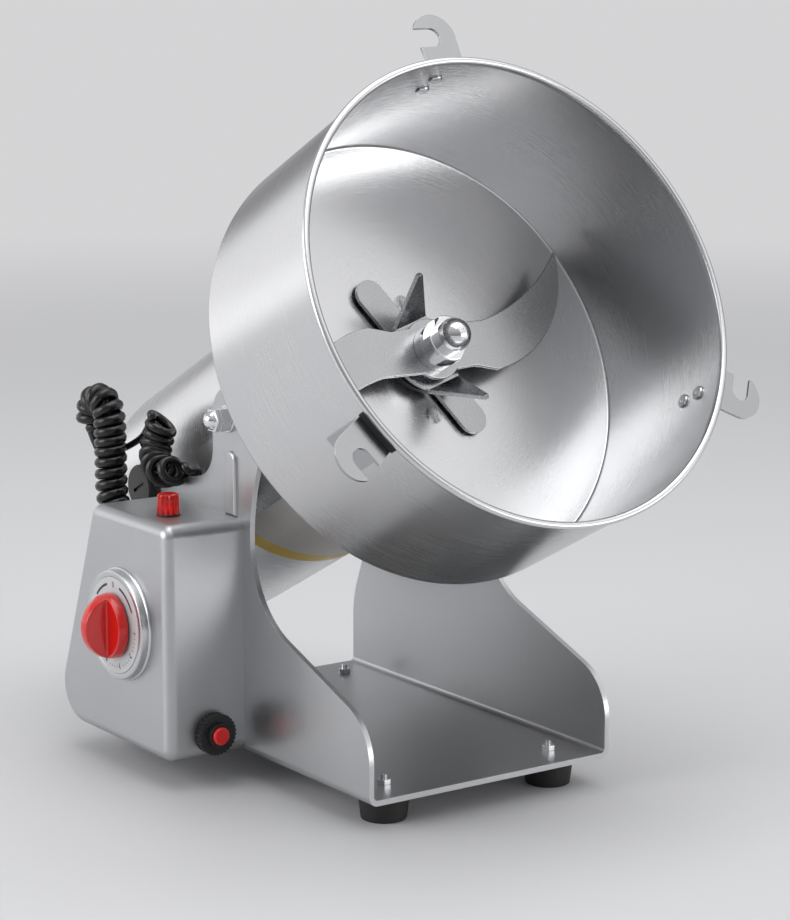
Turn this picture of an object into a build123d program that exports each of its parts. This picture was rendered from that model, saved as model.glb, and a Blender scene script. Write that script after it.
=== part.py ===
"""Electric grain mill: a drum on a motor housing that swings between two sheet-steel arms.

Millimetres, +Z up, front towards -Y, control box on the -X side. The origin lies on the floor
under the middle of the mill's whole outline, cord left out. The drum is tipped forward to pour.
"""
from build123d import *
from math import cos, pi, radians, sin, tan
import os

os.makedirs("parts", exist_ok=True)

# --- Place of the stand's middle from the origin
stand_x = 6.04
stand_y = 5.56

# --- Clearances
running_gap = 0.05      # between a shaft or stud and its bore
moving_gap = 0.3        # between faces that pass each other

# --- Stand bracket: one bent sheet
base_width = 130.6
base_depth = 198.2
sheet = 2.5
bend_radius = 4.5
foot_height = 12.4
front_toe_height = 46.9
front_toe_radius = 25.0
arm_front = -6.8
waist_height = 81.2
waist_radius = 43.0
lean_height = 125.0
lean_radius = 80.0
head_front = -23.7
head_front_radius = 20.0
head_rear = 23.9
head_rear_radius = 13.0
head_above_pivot = 13.9
shoulder_front_height = 135.8
shoulder_front_radius = 15.0
shoulder_back = 68.6
shoulder_back_height = 126.8
shoulder_back_radius = 22.0
rear_toe_height = 48.1
rear_toe_radius = 45.0
rib_back = 8.0
rib_width = 8.5
rib_height = 1.5
rib_below_pivot = 14.1  # rib's top below the pivot's axis
rib_edge_radius = 1.2

# --- Pivot and tilt of the drum's axis from upright
pivot_back = 10.7
pivot_height = 163.1
tilt = 62.4

# --- Feet
foot_x = 45.0
foot_y = 80.9
foot_radius = 11.5
foot_bottom_radius = 10.0
foot_recess_radius = 4.0
foot_recess_depth = 5.0
small_screw_radius = 1.5
small_screw_clearance = 0.2
small_head_radius = 2.8
small_head_height = 1.8
small_nut_flats = 5.5
small_nut_height = 2.4
foot_screw_end = 2.0    # thread above the nut

# --- Control box
box_depth = 39.6
box_wall = 1.5
box_front = -1.1
box_bottom = 13.5
box_top = 120.2
box_rear_top = 65.8
box_lean = 0.365        # back wall's run per unit of height
box_corner_radius = 6.0
box_heel_radius = 18.0
box_edge_radius = 5.0
box_post_radius = 3.5
box_post_spots = ((8.0, 108.0), (52.0, 110.0), (8.0, 45.0), (79.0, 23.0))
box_screw_grip = 8.0    # thread inside the post

# --- Timer and its dial
dial_back = 37.2
dial_height = 70.0
timer_side = 42.0
timer_depth = 24.0
timer_corner_radius = 6.0
timer_neck_radius = 4.5
timer_shaft_radius = 3.0
timer_flat = 2.2        # D flat's distance from the shaft's middle
timer_screw_spacing = 28.0
timer_screw_radius = 1.5
timer_screw_head_radius = 3.0
timer_screw_length = 7.0
bezel_base_radius = 25.75
bezel_radius = 24.4
bezel_height = 4.8
plate_radius = 21.95
plate_thickness = 1.0
plate_recess = 0.8
knob_radius = 14.85
knob_base_gap = 0.8     # air between dial plate and knob
knob_ledge = 4.5        # height of the ledges beside the grip
knob_bar_width = 7.6
knob_bar_draft = 6.0    # degrees that each flank of the grip leans in
knob_hub_radius = 5.0
knob_grip = 8.0         # shaft inside the knob

# --- Pilot lamp on the box top
lamp_out = 23.7         # from the arm's face
lamp_back = 23.4
lamp_base_radius = 5.35
lamp_top_radius = 4.75
lamp_height = 8.9
lamp_wall = 1.3
lamp_flange = 0.8
lamp_body_radius = 4.5
lamp_body_depth = 18.0
lamp_nut_flats = 12.0
lamp_nut_height = 3.0
bulb_radius = 2.0
bulb_length = 14.0

# --- Reset breaker on the box front
breaker_out = 16.8      # from the arm's face
breaker_height = 24.8
breaker_width = 15.0
breaker_length = 28.0
breaker_neck_radius = 5.5
breaker_shoulder_radius = 6.0
breaker_shoulder = 2.5  # between the box wall and the body
breaker_neck = 7.0
breaker_nut_radius = 9.4
breaker_nut_height = 5.0
breaker_knurls = 30
breaker_knurl_radius = 0.5
button_radius = 4.0
button_end = 8.6        # button's end ahead of the box front
button_length = 14.0
button_travel = 2.5
spring_wire = 0.5
spring_turns = 5

# --- Glands on the leaning back wall
gland_out = 12.7        # from the arm's face
cord_gland_height = 99.0
mains_gland_height = 46.0
gland_radius = 7.8
gland_neck_radius = 5.5
gland_flange = 3.0
gland_inner = 4.0
gland_bore = 2.2
mains_bore = 3.6

# --- Pivot studs
stud_radius = 3.0
stud_head_radius = 6.0
stud_head_height = 2.5
bush_barrel_radius = 4.5
bush_flange_radius = 7.0
washer_radius = 6.2
washer_thickness = 1.2
pivot_nut_flats = 10.0
pivot_nut_height = 5.0
cap_nut_flats = 10.0
cap_nut_height = 2.5
cap_dome_radius = 4.3
cap_dome_start = 1.8
stud_end = 3.0          # thread inside the cap nut

# --- Drum
drum_back = 58.1        # outer face of the floor, ahead of the pivot
mouth = 144.9
drum_radius = 103.2
drum_wall = 1.2
drum_floor = 1.5
drum_corner_radius = 2.5
drum_inner_radius = 1.3
bead_radius = 1.6
bead_overhang = 1.8     # bead's outside beyond the drum's wall
floor_hole_radius = 12.0
floor_screw_circle_radius = 26.0
floor_screw_radius = 2.5
floor_screw_head_radius = 4.4
floor_screw_length = 11.0

# --- Lid hooks
hook_count = 3
hook_angle = 91.0
hook_plane = 138.0
hook_sheet = 1.5
hook_width = 18.5
hook_reach = 127.3
hook_shoulder = 118.0   # reach at which the straight edge turns into the round head
hook_tip_reach = 121.6
hook_tip_side = 11.0
slot_reach = 116.8
slot_width = 8.5
slot_end = 3.2
hook_foot_start = 112.5
rivet_spots = (118.0, 128.5)
rivet_radius = 1.6
rivet_head_radius = 3.25
rivet_head_height = 1.0
rivet_tail_radius = 2.4
rivet_tail_height = 1.6
rivet_hole_radius = 0.9
pad_arc = 11.0
pad_thickness = 1.8

# --- Motor housing and its shields
housing_radius = 58.1
housing_wall = 1.5
housing_back = 129.0    # behind the pivot
rear_cap_thickness = 2.0
rear_cap_rim = 6.0
rear_cap_edge_radius = 1.6
vent_count = 12
vent_inner = 22.0
vent_outer = 46.0
vent_width = 4.0
front_shield_thickness = 8.0
front_hub_radius = 22.0
front_hub_length = 18.0
shield_window_inner = 27.0
shield_window_outer = 50.0
shield_spoke_width = 12.0
rear_shield_thickness = 10.0
rear_window_outer = 46.0
rear_shield_back = 123.0
rear_hub_radius = 20.0
rear_hub_length = 13.0
cap_screw_circle_radius = 52.0
cap_screw_radius = 2.0
cap_screw_head_radius = 3.6
cap_screw_head_height = 2.4
cap_screw_length = 12.0

# --- Bearings
front_bearing_radius = 17.5
front_bearing_bore_radius = 7.5
front_bearing_width = 11.0
front_bearing_start = 44.0
rear_bearing_radius = 16.0
rear_bearing_bore_radius = 6.0
rear_bearing_width = 10.0
rear_bearing_back = 122.0
race_share = 0.27       # of the ring's depth that each race takes
ball_gap = 0.05
ball_count = 8

# --- Stator
stator_back = 76.0
stator_front = 14.0
stator_yoke_radius = 46.0
stator_bore = 30.4
pole_neck_width = 26.0
pole_shoe_width = 50.0
pole_shoe_radius = 36.0
coil_overhang = 8.5
coil_outer = 44.0
coil_side = 9.0

# --- Brushes
brush_back = 98.0
brush_width = 6.0
brush_height = 10.0
brush_length = 17.0
holder_wall = 2.0
holder_end = 20.0       # holder's inner end from the axis
brush_cap_radius = 10.8
brush_cap_height = 3.4
brush_cap_neck = 5.0
brush_cap_edge_radius = 1.2
brush_slot_width = 1.6
brush_slot_depth = 1.2
brush_spring_radius = 2.2
brush_spring_wire = 0.5
brush_spring_turns = 7

# --- Rotor
shaft_radius = 8.0
shaft_front_end = 61.2  # shoulder that carries the blades
thread_radius = 6.0
thread_end = 86.0
shaft_rear_end = 121.7
armature_radius = 29.4
armature_slots = 12
armature_slot_width = 4.0
armature_slot_depth = 11.0
winding_radius = 26.0
winding_length = 10.0
commutator_radius = 17.0
commutator_start = 108.0
commutator_length = 20.0
commutator_bars = 24
commutator_groove = 0.6
fan_start = 14.0
fan_height = 15.0
fan_radius = 46.0
fan_hub_radius = 13.0
fan_plate = 1.5
fan_vanes = 9
fan_vane = 2.0
fan_vane_reach = 45.0

# --- Shaft seal in the drum floor
seal_flange_radius = 15.0
seal_flange = 1.2
seal_depth = 3.0

# --- Blades and hub
blade = 2.0
lower_blade_start = shaft_front_end
lower_blade_reach = 42.0
lower_blade_width = 14.0
lower_blade_angle = 120.0
bent_blade_start = 65.6
bent_disc_radius = 17.0
bent_blade_angle = 106.0
bent_root_width = 19.0
bent_tip_width = 2.5
bent_root_reach = 16.0
bent_tip_reach = 31.0
bent_tip_height = 90.0
sickle_start = 71.0
sickle_disc_radius = 14.0
sickle_root = (19.8, -9.5)
sickle_heel = (31.5, -12.4)
sickle_back = (63.0, 1.8)
sickle_tip = (81.5, 40.8)
sickle_edge = (56.0, 20.6)
sickle_neck = (29.5, 11.0)
hub_radius = 10.5
hub_top = 78.0
hub_nut_height = 8.0
hub_nut_edge_radius = 0.8
hub_flats = 17.0        # across the two wrench flats
hub_flat_length = 5.0
hub_flat_turn = 45.0
hub_dome_radius = 7.5
hub_dome_height = 3.2

# --- Curly cord: fat tubes of the coil's outer radius, thin ones of the lead's, and its inlet
elbow_along = -30.0
elbow_side = -20.0
elbow_width = 8.0
coil_radius = 7.75
lead_radius = 2.1
cord_gland_lead = 12.0  # straight run out of the box's gland

BOTTOM = (Align.CENTER, Align.CENTER, Align.MIN)
TOP = (Align.CENTER, Align.CENTER, Align.MAX)

front_bearing = {
    "outer": front_bearing_radius,
    "inner": front_bearing_bore_radius,
    "width": front_bearing_width,
    "start": front_bearing_start,
}
rear_bearing = {
    "outer": rear_bearing_radius,
    "inner": rear_bearing_bore_radius,
    "width": rear_bearing_width,
    "start": -rear_bearing_back,
}

# --- The frames that everything is placed by
plate_top = foot_height + sheet
wall_face = base_width / 2
rib_top = pivot_height - rib_below_pivot
pivot = Vector(stand_x, stand_y + pivot_back, pivot_height)
drum_dir = Vector(0, -sin(radians(tilt)), cos(radians(tilt)))
drum_side = Vector(0, cos(radians(tilt)), sin(radians(tilt)))
drum_axis = Axis(pivot, drum_dir)
drum_section = Plane(origin=pivot, x_dir=(1, 0, 0), z_dir=-drum_side)


def level(height):
    """Level plane of the stand; local x and y as the world's."""
    return Plane((stand_x, stand_y, height))


def upright(x):
    """Plane across the stand, facing +X; local x runs back and local y up."""
    return Plane(origin=(stand_x + x, stand_y, 0), x_dir=(0, 1, 0), z_dir=(1, 0, 0))


def side_spot(x, back, height, facing):
    """Plane at one point of the stand's side, facing -X or +X."""
    return Plane(origin=(stand_x + x, stand_y + back, height), x_dir=(0, facing, 0), z_dir=(facing, 0, 0))


def frontal(back):
    """Plane facing the front; local x as the world's, local y up."""
    return Plane(origin=(stand_x, stand_y + back, 0), x_dir=(1, 0, 0), z_dir=(0, -1, 0))


def drum_plane(along):
    """Plane square to the drum's axis, facing the mouth, at a distance ahead of the pivot."""
    return Plane(origin=pivot + drum_dir * along, x_dir=(1, 0, 0), z_dir=drum_dir)


def drum_spot(along, angle, reach, facing):
    """Plane at a point round the drum's axis; it faces outwards (1) or inwards (-1)."""
    outward = Vector(1, 0, 0) * cos(radians(angle)) + drum_side * sin(radians(angle))
    origin = pivot + drum_dir * along + outward * reach
    return Plane(origin=origin, x_dir=drum_dir, z_dir=outward * facing)


def drum_slice(angle):
    """Half-plane through the drum's axis; local x runs outwards and local y to the mouth."""
    outward = Vector(1, 0, 0) * cos(radians(angle)) + drum_side * sin(radians(angle))
    return Plane(origin=pivot, x_dir=outward, z_dir=outward.cross(drum_dir))


def save(builder, name):
    """Label one finished piece and write it."""
    builder.part.label = name
    export_step(builder.part, "parts/" + name + ".step")


def turned_rings(rings):
    """Rings about the drum's axis, each (start, end, outer radius, bore radius)."""
    with BuildPart() as turned:
        for start, end, outer, bore in rings:
            with BuildSketch(drum_plane(start)) as ring:
                Circle(outer)
                if bore:
                    Circle(bore, mode=Mode.SUBTRACT)
            extrude(ring.sketch, amount=end - start)
    return turned


def coil_spring(plane, radius, wire, turns, length):
    """Round-wire spring that stands on a plane."""
    pitch = (length - 2 * wire) / turns
    foot = plane.offset(wire).origin
    with BuildPart() as spring:
        with BuildLine() as turns_line:
            Helix(pitch=pitch, height=pitch * turns, radius=radius, center=foot, direction=plane.z_dir)
        with BuildSketch(Plane(turns_line.line @ 0, z_dir=turns_line.line % 0)):
            Circle(wire)
        sweep(path=turns_line.line, is_frenet=True)
    return spring


def fitted_radii(outline):
    """Corner radii of a closed outline, smaller where a run is too short for its two corners."""
    points = [Vector(*point) for point, radius in outline]
    runs = [after - here for here, after in zip(points, points[1:] + points[:1])]
    reaches = [
        radius * tan(radians(before.get_angle(run)) / 2)
        for (point, radius), before, run in zip(outline, runs[-1:] + runs[:-1], runs)
    ]
    room = [
        min(1.0, 0.99 * run.length / max(here + after, sheet / 100))
        for run, here, after in zip(runs, reaches, reaches[1:] + reaches[:1])
    ]
    return [
        radius * min(before, after)
        for (point, radius), before, after in zip(outline, room[-1:] + room[:-1], room)
    ]


# ============================ Stand ============================

# The bracket: a channel along Y, cut to the arms' outline, with a pressed rib on each arm.
arm_outline = (
    ((-base_depth / 2, foot_height), 0),
    ((-base_depth / 2, front_toe_height), front_toe_radius),
    ((arm_front, waist_height), waist_radius),
    ((arm_front, lean_height), lean_radius),
    ((head_front, pivot_height + head_above_pivot), head_front_radius),
    ((head_rear, pivot_height + head_above_pivot), head_rear_radius),
    ((head_rear, shoulder_front_height), shoulder_front_radius),
    ((shoulder_back, shoulder_back_height), shoulder_back_radius),
    ((base_depth / 2, rear_toe_height), rear_toe_radius),
    ((base_depth / 2, foot_height), 0),
)
arm_height = pivot_height + head_above_pivot - foot_height
with BuildPart() as stand_bracket:
    with BuildSketch(frontal(base_depth / 2)) as channel:
        with Locations((0, foot_height)):
            Rectangle(base_width, arm_height, align=(Align.CENTER, Align.MIN))
        fillet(channel.vertices().group_by(Axis.Y)[0], bend_radius)
    extrude(amount=base_depth)
    with BuildSketch(frontal(base_depth / 2)) as channel_inside:
        with Locations((0, plate_top)):
            Rectangle(base_width - 2 * sheet, arm_height, align=(Align.CENTER, Align.MIN))
        fillet(channel_inside.vertices().group_by(Axis.Y)[0], bend_radius - sheet)
    extrude(amount=base_depth, mode=Mode.SUBTRACT)
    with BuildSketch(upright(-wall_face)):
        with BuildLine():
            FilletPolyline(*[p for p, r in arm_outline], radius=fitted_radii(arm_outline), close=True)
        make_face()
    extrude(amount=base_width, mode=Mode.INTERSECT)
    for side in (-1, 1):
        with BuildSketch(upright(side * wall_face)):
            with Locations((rib_back, box_top)):
                Rectangle(rib_width, rib_top - rib_width / 2 - box_top, align=(Align.CENTER, Align.MIN))
            with Locations((rib_back, rib_top - rib_width / 2)):
                Circle(rib_width / 2)
        extrude(amount=side * rib_height)
    fillet(stand_bracket.faces().sort_by(Axis.X)[0].edges(), rib_edge_radius)
    fillet(stand_bracket.faces().sort_by(Axis.X)[-1].edges(), rib_edge_radius)
    with BuildSketch(upright(-wall_face)):
        with Locations((pivot_back, pivot_height)):
            Circle(bush_barrel_radius)
    extrude(amount=base_width, mode=Mode.SUBTRACT)
    with BuildSketch(upright(-wall_face)):
        with Locations(*box_post_spots):
            Circle(small_screw_radius + small_screw_clearance)
    extrude(amount=sheet, mode=Mode.SUBTRACT)
    with BuildSketch(level(foot_height)):
        with GridLocations(2 * foot_x, 2 * foot_y, 2, 2):
            Circle(small_screw_radius)
    extrude(amount=sheet, mode=Mode.SUBTRACT)
save(stand_bracket, "stand_bracket")

with BuildPart(level(0)) as rubber_feet:
    with GridLocations(2 * foot_x, 2 * foot_y, 2, 2):
        Cone(foot_bottom_radius, foot_radius, foot_height, align=BOTTOM)
        Cylinder(foot_recess_radius, foot_recess_depth, align=BOTTOM, mode=Mode.SUBTRACT)
        Cylinder(small_screw_radius, foot_height, align=BOTTOM, mode=Mode.SUBTRACT)
save(rubber_feet, "rubber_feet")

with BuildPart(level(foot_recess_depth)) as foot_screws:
    with GridLocations(2 * foot_x, 2 * foot_y, 2, 2):
        Cylinder(small_head_radius, small_head_height, align=TOP)
        Cylinder(
            small_screw_radius,
            plate_top - foot_recess_depth + small_nut_height + foot_screw_end,
            align=BOTTOM,
        )
save(foot_screws, "foot_screws")

with BuildPart() as foot_nuts:
    with BuildSketch(level(plate_top)):
        with GridLocations(2 * foot_x, 2 * foot_y, 2, 2):
            RegularPolygon(small_nut_flats / 2, 6, major_radius=False)
            Circle(small_screw_radius, mode=Mode.SUBTRACT)
    extrude(amount=small_nut_height)
save(foot_nuts, "foot_nuts")

# ============================ Control box ============================

box_face = -wall_face - box_depth
dial_plane = side_spot(box_face, dial_back, dial_height, -1)


def back_wall_spot(height):
    """Plane on the box's leaning back wall, facing out of it."""
    back = box_rear_top + (box_top - height) * box_lean
    origin = (stand_x - wall_face - gland_out, stand_y + back, height)
    return Plane(origin=origin, x_dir=(1, 0, 0), z_dir=(0, 1, box_lean))


cord_gland_plane = back_wall_spot(cord_gland_height)
mains_gland_plane = back_wall_spot(mains_gland_height)
lamp_plane = Plane((stand_x - wall_face - lamp_out, stand_y + lamp_back, box_top))
breaker_plane = Plane(
    origin=(stand_x - wall_face - breaker_out, stand_y + box_front, breaker_height),
    x_dir=(1, 0, 0),
    z_dir=(0, -1, 0),
)
box_outline = (
    ((box_front, box_bottom), box_corner_radius),
    ((box_front, box_top), box_corner_radius),
    ((box_rear_top, box_top), box_corner_radius),
    ((box_rear_top + (box_top - box_bottom) * box_lean, box_bottom), box_heel_radius),
)
timer_screw_spots = ((-timer_screw_spacing / 2, 0), (timer_screw_spacing / 2, 0))
with BuildPart() as control_box:
    with BuildSketch(upright(-wall_face)):
        with BuildLine():
            FilletPolyline(*[p for p, r in box_outline], radius=fitted_radii(box_outline), close=True)
        make_face()
    extrude(amount=-box_depth)
    fillet(control_box.faces().sort_by(Axis.X)[0].edges(), box_edge_radius)
    offset(amount=-box_wall, openings=control_box.faces().sort_by(Axis.X)[-1])
    with BuildSketch(upright(-wall_face)) as posts:
        with Locations(*box_post_spots):
            Circle(box_post_radius)
    extrude(amount=-(box_depth - box_wall))
    with BuildSketch(upright(-wall_face)):
        with Locations(*box_post_spots):
            Circle(small_screw_radius)
    extrude(amount=-box_screw_grip, mode=Mode.SUBTRACT)
    with BuildSketch(dial_plane):
        Circle(timer_neck_radius)
    extrude(amount=-box_wall, mode=Mode.SUBTRACT)
    with BuildSketch(lamp_plane):
        Circle(lamp_body_radius)
    extrude(amount=-box_wall, mode=Mode.SUBTRACT)
    with BuildSketch(breaker_plane):
        Circle(breaker_neck_radius)
    extrude(amount=-box_wall, mode=Mode.SUBTRACT)
    with BuildSketch(cord_gland_plane, mains_gland_plane):
        Circle(gland_neck_radius)
    extrude(amount=-2 * box_wall, mode=Mode.SUBTRACT)
    with BuildSketch(dial_plane):
        with Locations(*timer_screw_spots):
            Circle(timer_screw_head_radius)
    extrude(amount=-box_wall, taper=45, mode=Mode.SUBTRACT)
save(control_box, "control_box")

with BuildPart(upright(-wall_face + sheet)) as box_screws:
    with Locations(*box_post_spots):
        Cylinder(small_head_radius, small_head_height, align=BOTTOM)
        Cylinder(small_screw_radius, sheet + box_screw_grip, align=TOP)
save(box_screws, "box_screws")

# ============================ Timer and dial ============================

plate_front = bezel_height - plate_recess + plate_thickness
knob_base = plate_front + knob_base_gap
shaft_out = knob_base + knob_grip
with BuildPart(dial_plane.offset(-box_wall)) as timer_body:
    with BuildSketch(dial_plane.offset(-box_wall)):
        RectangleRounded(timer_side, timer_side, timer_corner_radius)
    extrude(amount=-timer_depth)
    Cylinder(timer_neck_radius, box_wall + bezel_height - plate_recess, align=BOTTOM)
    Cylinder(
        timer_shaft_radius + running_gap,
        2 * (box_wall + bezel_height),
        mode=Mode.SUBTRACT,
    )
    with Locations(*timer_screw_spots):
        Cylinder(timer_screw_radius, timer_screw_length - box_wall, align=TOP, mode=Mode.SUBTRACT)
save(timer_body, "timer_body")

with BuildPart(dial_plane) as timer_screws:
    with Locations(*timer_screw_spots):
        Cone(timer_screw_head_radius - box_wall, timer_screw_head_radius, box_wall, align=TOP)
        Cylinder(timer_screw_radius, timer_screw_length, align=TOP)
save(timer_screws, "timer_screws")

with BuildPart(dial_plane) as dial_bezel:
    Cone(bezel_base_radius, bezel_radius, bezel_height, align=BOTTOM)
    Cylinder(timer_neck_radius, bezel_height, align=BOTTOM, mode=Mode.SUBTRACT)
    with BuildSketch(dial_plane.offset(bezel_height)):
        Circle(plate_radius)
    extrude(amount=-plate_recess, mode=Mode.SUBTRACT)
save(dial_bezel, "dial_bezel")

with BuildPart() as dial_plate:
    with BuildSketch(dial_plane.offset(bezel_height - plate_recess)):
        Circle(plate_radius)
        Circle(timer_shaft_radius + moving_gap, mode=Mode.SUBTRACT)
    extrude(amount=plate_thickness)
save(dial_plate, "dial_plate")

with BuildPart() as timer_shaft:
    with BuildSketch(dial_plane.offset(-box_wall - bezel_height + moving_gap)):
        Circle(timer_shaft_radius)
    extrude(amount=shaft_out + box_wall + bezel_height - moving_gap)
    with BuildSketch(dial_plane.offset(shaft_out)) as shaft_flat:
        with Locations((0, timer_flat)):
            Rectangle(2 * timer_shaft_radius, timer_shaft_radius, align=(Align.CENTER, Align.MIN))
    extrude(amount=-knob_grip, mode=Mode.SUBTRACT)
save(timer_shaft, "timer_shaft")

with BuildPart(dial_plane.offset(knob_base)) as timer_knob:
    Sphere(knob_radius, arc_size1=0, align=BOTTOM)
    with BuildSketch(dial_plane.offset(knob_base + knob_ledge)):
        for side in (-1, 1):
            with Locations((side * (knob_radius + knob_bar_width) / 2, 0)):
                Rectangle(knob_radius, 2 * knob_radius)
    extrude(amount=knob_radius, taper=-knob_bar_draft, mode=Mode.SUBTRACT)
    Cylinder(knob_hub_radius, knob_base_gap - moving_gap, align=TOP)
    with BuildSketch(dial_plane.offset(knob_base)):
        Circle(timer_shaft_radius)
        with Locations((0, timer_flat)):
            Rectangle(
                2 * timer_shaft_radius,
                timer_shaft_radius,
                align=(Align.CENTER, Align.MIN),
                mode=Mode.SUBTRACT,
            )
    extrude(amount=knob_grip, mode=Mode.SUBTRACT)
    with BuildSketch(dial_plane.offset(knob_base)):
        Circle(timer_shaft_radius)
    extrude(amount=-knob_base_gap, mode=Mode.SUBTRACT)
save(timer_knob, "timer_knob")

# ============================ Pilot lamp ============================

with BuildPart(lamp_plane) as lamp_holder:
    Cylinder(lamp_base_radius, lamp_flange, align=BOTTOM)
    Cylinder(lamp_body_radius, lamp_body_depth, align=TOP)
    Cylinder(bulb_radius, 2 * (bulb_length - lamp_height), mode=Mode.SUBTRACT)
save(lamp_holder, "lamp_holder")

with BuildPart(lamp_plane.offset(lamp_flange)) as lamp_lens:
    Cone(lamp_base_radius, lamp_top_radius, lamp_height, align=BOTTOM)
    Cylinder(
        lamp_top_radius - lamp_wall,
        lamp_height - lamp_wall,
        align=BOTTOM,
        mode=Mode.SUBTRACT,
    )
    fillet(lamp_lens.faces().sort_by(Axis.Z)[-1].edges(), lamp_wall / 2)
save(lamp_lens, "lamp_lens")

with BuildPart(lamp_plane.offset(lamp_height - bulb_length)) as neon_bulb:
    Cylinder(bulb_radius, bulb_length - lamp_wall - bulb_radius, align=BOTTOM)
    fillet(neon_bulb.faces().sort_by(Axis.Z)[-1].edges(), bulb_radius / 2)
save(neon_bulb, "neon_bulb")

with BuildPart() as lamp_nut:
    with BuildSketch(lamp_plane.offset(-box_wall)):
        RegularPolygon(lamp_nut_flats / 2, 6, major_radius=False)
        Circle(lamp_body_radius, mode=Mode.SUBTRACT)
    extrude(amount=-lamp_nut_height)
save(lamp_nut, "lamp_nut")

# ============================ Reset breaker ============================

button_bore = button_length - button_end + breaker_neck
spring_room = 2 * button_travel + spring_turns * spring_wire
with BuildPart(breaker_plane) as breaker_body:
    with BuildSketch(breaker_plane.offset(-box_wall - breaker_shoulder)):
        Rectangle(breaker_width, breaker_width)
    extrude(amount=-breaker_length)
    with BuildSketch(breaker_plane.offset(-box_wall)):
        Circle(breaker_shoulder_radius)
    extrude(amount=-breaker_shoulder)
    Cylinder(breaker_neck_radius, box_wall, align=TOP)
    Cylinder(breaker_neck_radius, breaker_neck, align=BOTTOM)
    with BuildSketch(breaker_plane.offset(breaker_neck)):
        Circle(button_radius + running_gap)
    extrude(amount=-(button_bore + spring_room), mode=Mode.SUBTRACT)
save(breaker_body, "breaker_body")

with BuildPart() as breaker_nut:
    with BuildSketch(breaker_plane):
        Circle(breaker_nut_radius)
        Circle(breaker_neck_radius, mode=Mode.SUBTRACT)
        with PolarLocations(breaker_nut_radius, breaker_knurls):
            Circle(breaker_knurl_radius, mode=Mode.SUBTRACT)
    extrude(amount=breaker_nut_height)
save(breaker_nut, "breaker_nut")

with BuildPart(breaker_plane.offset(button_end)) as reset_button:
    Cylinder(button_radius, button_length, align=TOP)
    fillet(reset_button.faces().sort_by(Axis.Y)[0].edges(), button_radius / 4)
save(reset_button, "reset_button")

spring_seat = breaker_plane.offset(breaker_neck - button_bore - spring_room)
reset_spring = coil_spring(
    spring_seat,
    button_radius - 2 * spring_wire,
    spring_wire,
    spring_turns,
    spring_room,
)
save(reset_spring, "reset_spring")

# ============================ Glands ============================

with BuildPart(cord_gland_plane) as cord_gland:
    Cylinder(gland_radius, gland_flange, align=BOTTOM)
    Cylinder(gland_neck_radius, box_wall + gland_inner, align=TOP)
    Cylinder(gland_bore, box_wall + gland_inner, align=TOP, mode=Mode.SUBTRACT)
save(cord_gland, "cord_gland")

with BuildPart(mains_gland_plane) as mains_gland:
    Cylinder(gland_radius, gland_flange, align=BOTTOM)
    fillet(mains_gland.faces().sort_by(Axis.Y)[-1].edges(), gland_flange / 3)
    Cylinder(gland_neck_radius, box_wall + gland_inner, align=TOP)
    Cylinder(mains_bore, 2 * (box_wall + gland_inner + gland_flange), mode=Mode.SUBTRACT)
save(mains_gland, "mains_gland")

# ============================ Pivot ============================

# The studs are welded to the motor housing and turn with it; bushes and washers stay on the arms.
housing_inside = housing_radius - housing_wall
stud_seat = (housing_inside**2 - stud_head_radius**2) ** 0.5
stud_length = wall_face - stud_seat + washer_thickness + pivot_nut_height + running_gap + stud_end
pivot_sides = [side_spot(side * stud_seat, pivot_back, pivot_height, side) for side in (-1, 1)]
arm_faces = [side_spot(side * wall_face, pivot_back, pivot_height, side) for side in (-1, 1)]
with BuildPart(*pivot_sides) as pivot_studs:
    Cylinder(stud_head_radius, stud_head_height, align=TOP)
    Cylinder(stud_radius, stud_length, align=BOTTOM)
save(pivot_studs, "pivot_studs")

with BuildPart(*arm_faces) as pivot_bushes:
    Cylinder(bush_barrel_radius, sheet, align=TOP)
    with BuildSketch(*[face.offset(-sheet) for face in arm_faces]):
        Circle(bush_flange_radius)
    extrude(amount=-(wall_face - sheet - housing_radius - moving_gap))
    with BuildSketch(*arm_faces):
        Circle(stud_radius + running_gap)
    extrude(amount=-(wall_face - housing_radius), mode=Mode.SUBTRACT)
save(pivot_bushes, "pivot_bushes")

with BuildPart(*arm_faces) as pivot_washers:
    Cylinder(washer_radius, washer_thickness, align=BOTTOM)
    Cylinder(stud_radius + running_gap, washer_thickness, align=BOTTOM, mode=Mode.SUBTRACT)
save(pivot_washers, "pivot_washers")

nut_start = washer_thickness + running_gap
with BuildPart() as pivot_nuts:
    with BuildSketch(*[face.offset(nut_start) for face in arm_faces]):
        RegularPolygon(pivot_nut_flats / 2, 6, major_radius=False)
        Circle(stud_radius, mode=Mode.SUBTRACT)
    extrude(amount=pivot_nut_height)
save(pivot_nuts, "pivot_nuts")

cap_start = nut_start + pivot_nut_height
cap_faces = [face.offset(cap_start) for face in arm_faces]
with BuildPart(*cap_faces) as pivot_cap_nuts:
    with BuildSketch(*cap_faces):
        RegularPolygon(cap_nut_flats / 2, 6, major_radius=False)
    extrude(amount=cap_nut_height)
    with Locations((0, 0, cap_dome_start)):
        Sphere(cap_dome_radius, arc_size1=0, align=BOTTOM)
    Cylinder(stud_radius, stud_end, align=BOTTOM, mode=Mode.SUBTRACT)
save(pivot_cap_nuts, "pivot_cap_nuts")

# ============================ Drum ============================

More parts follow.
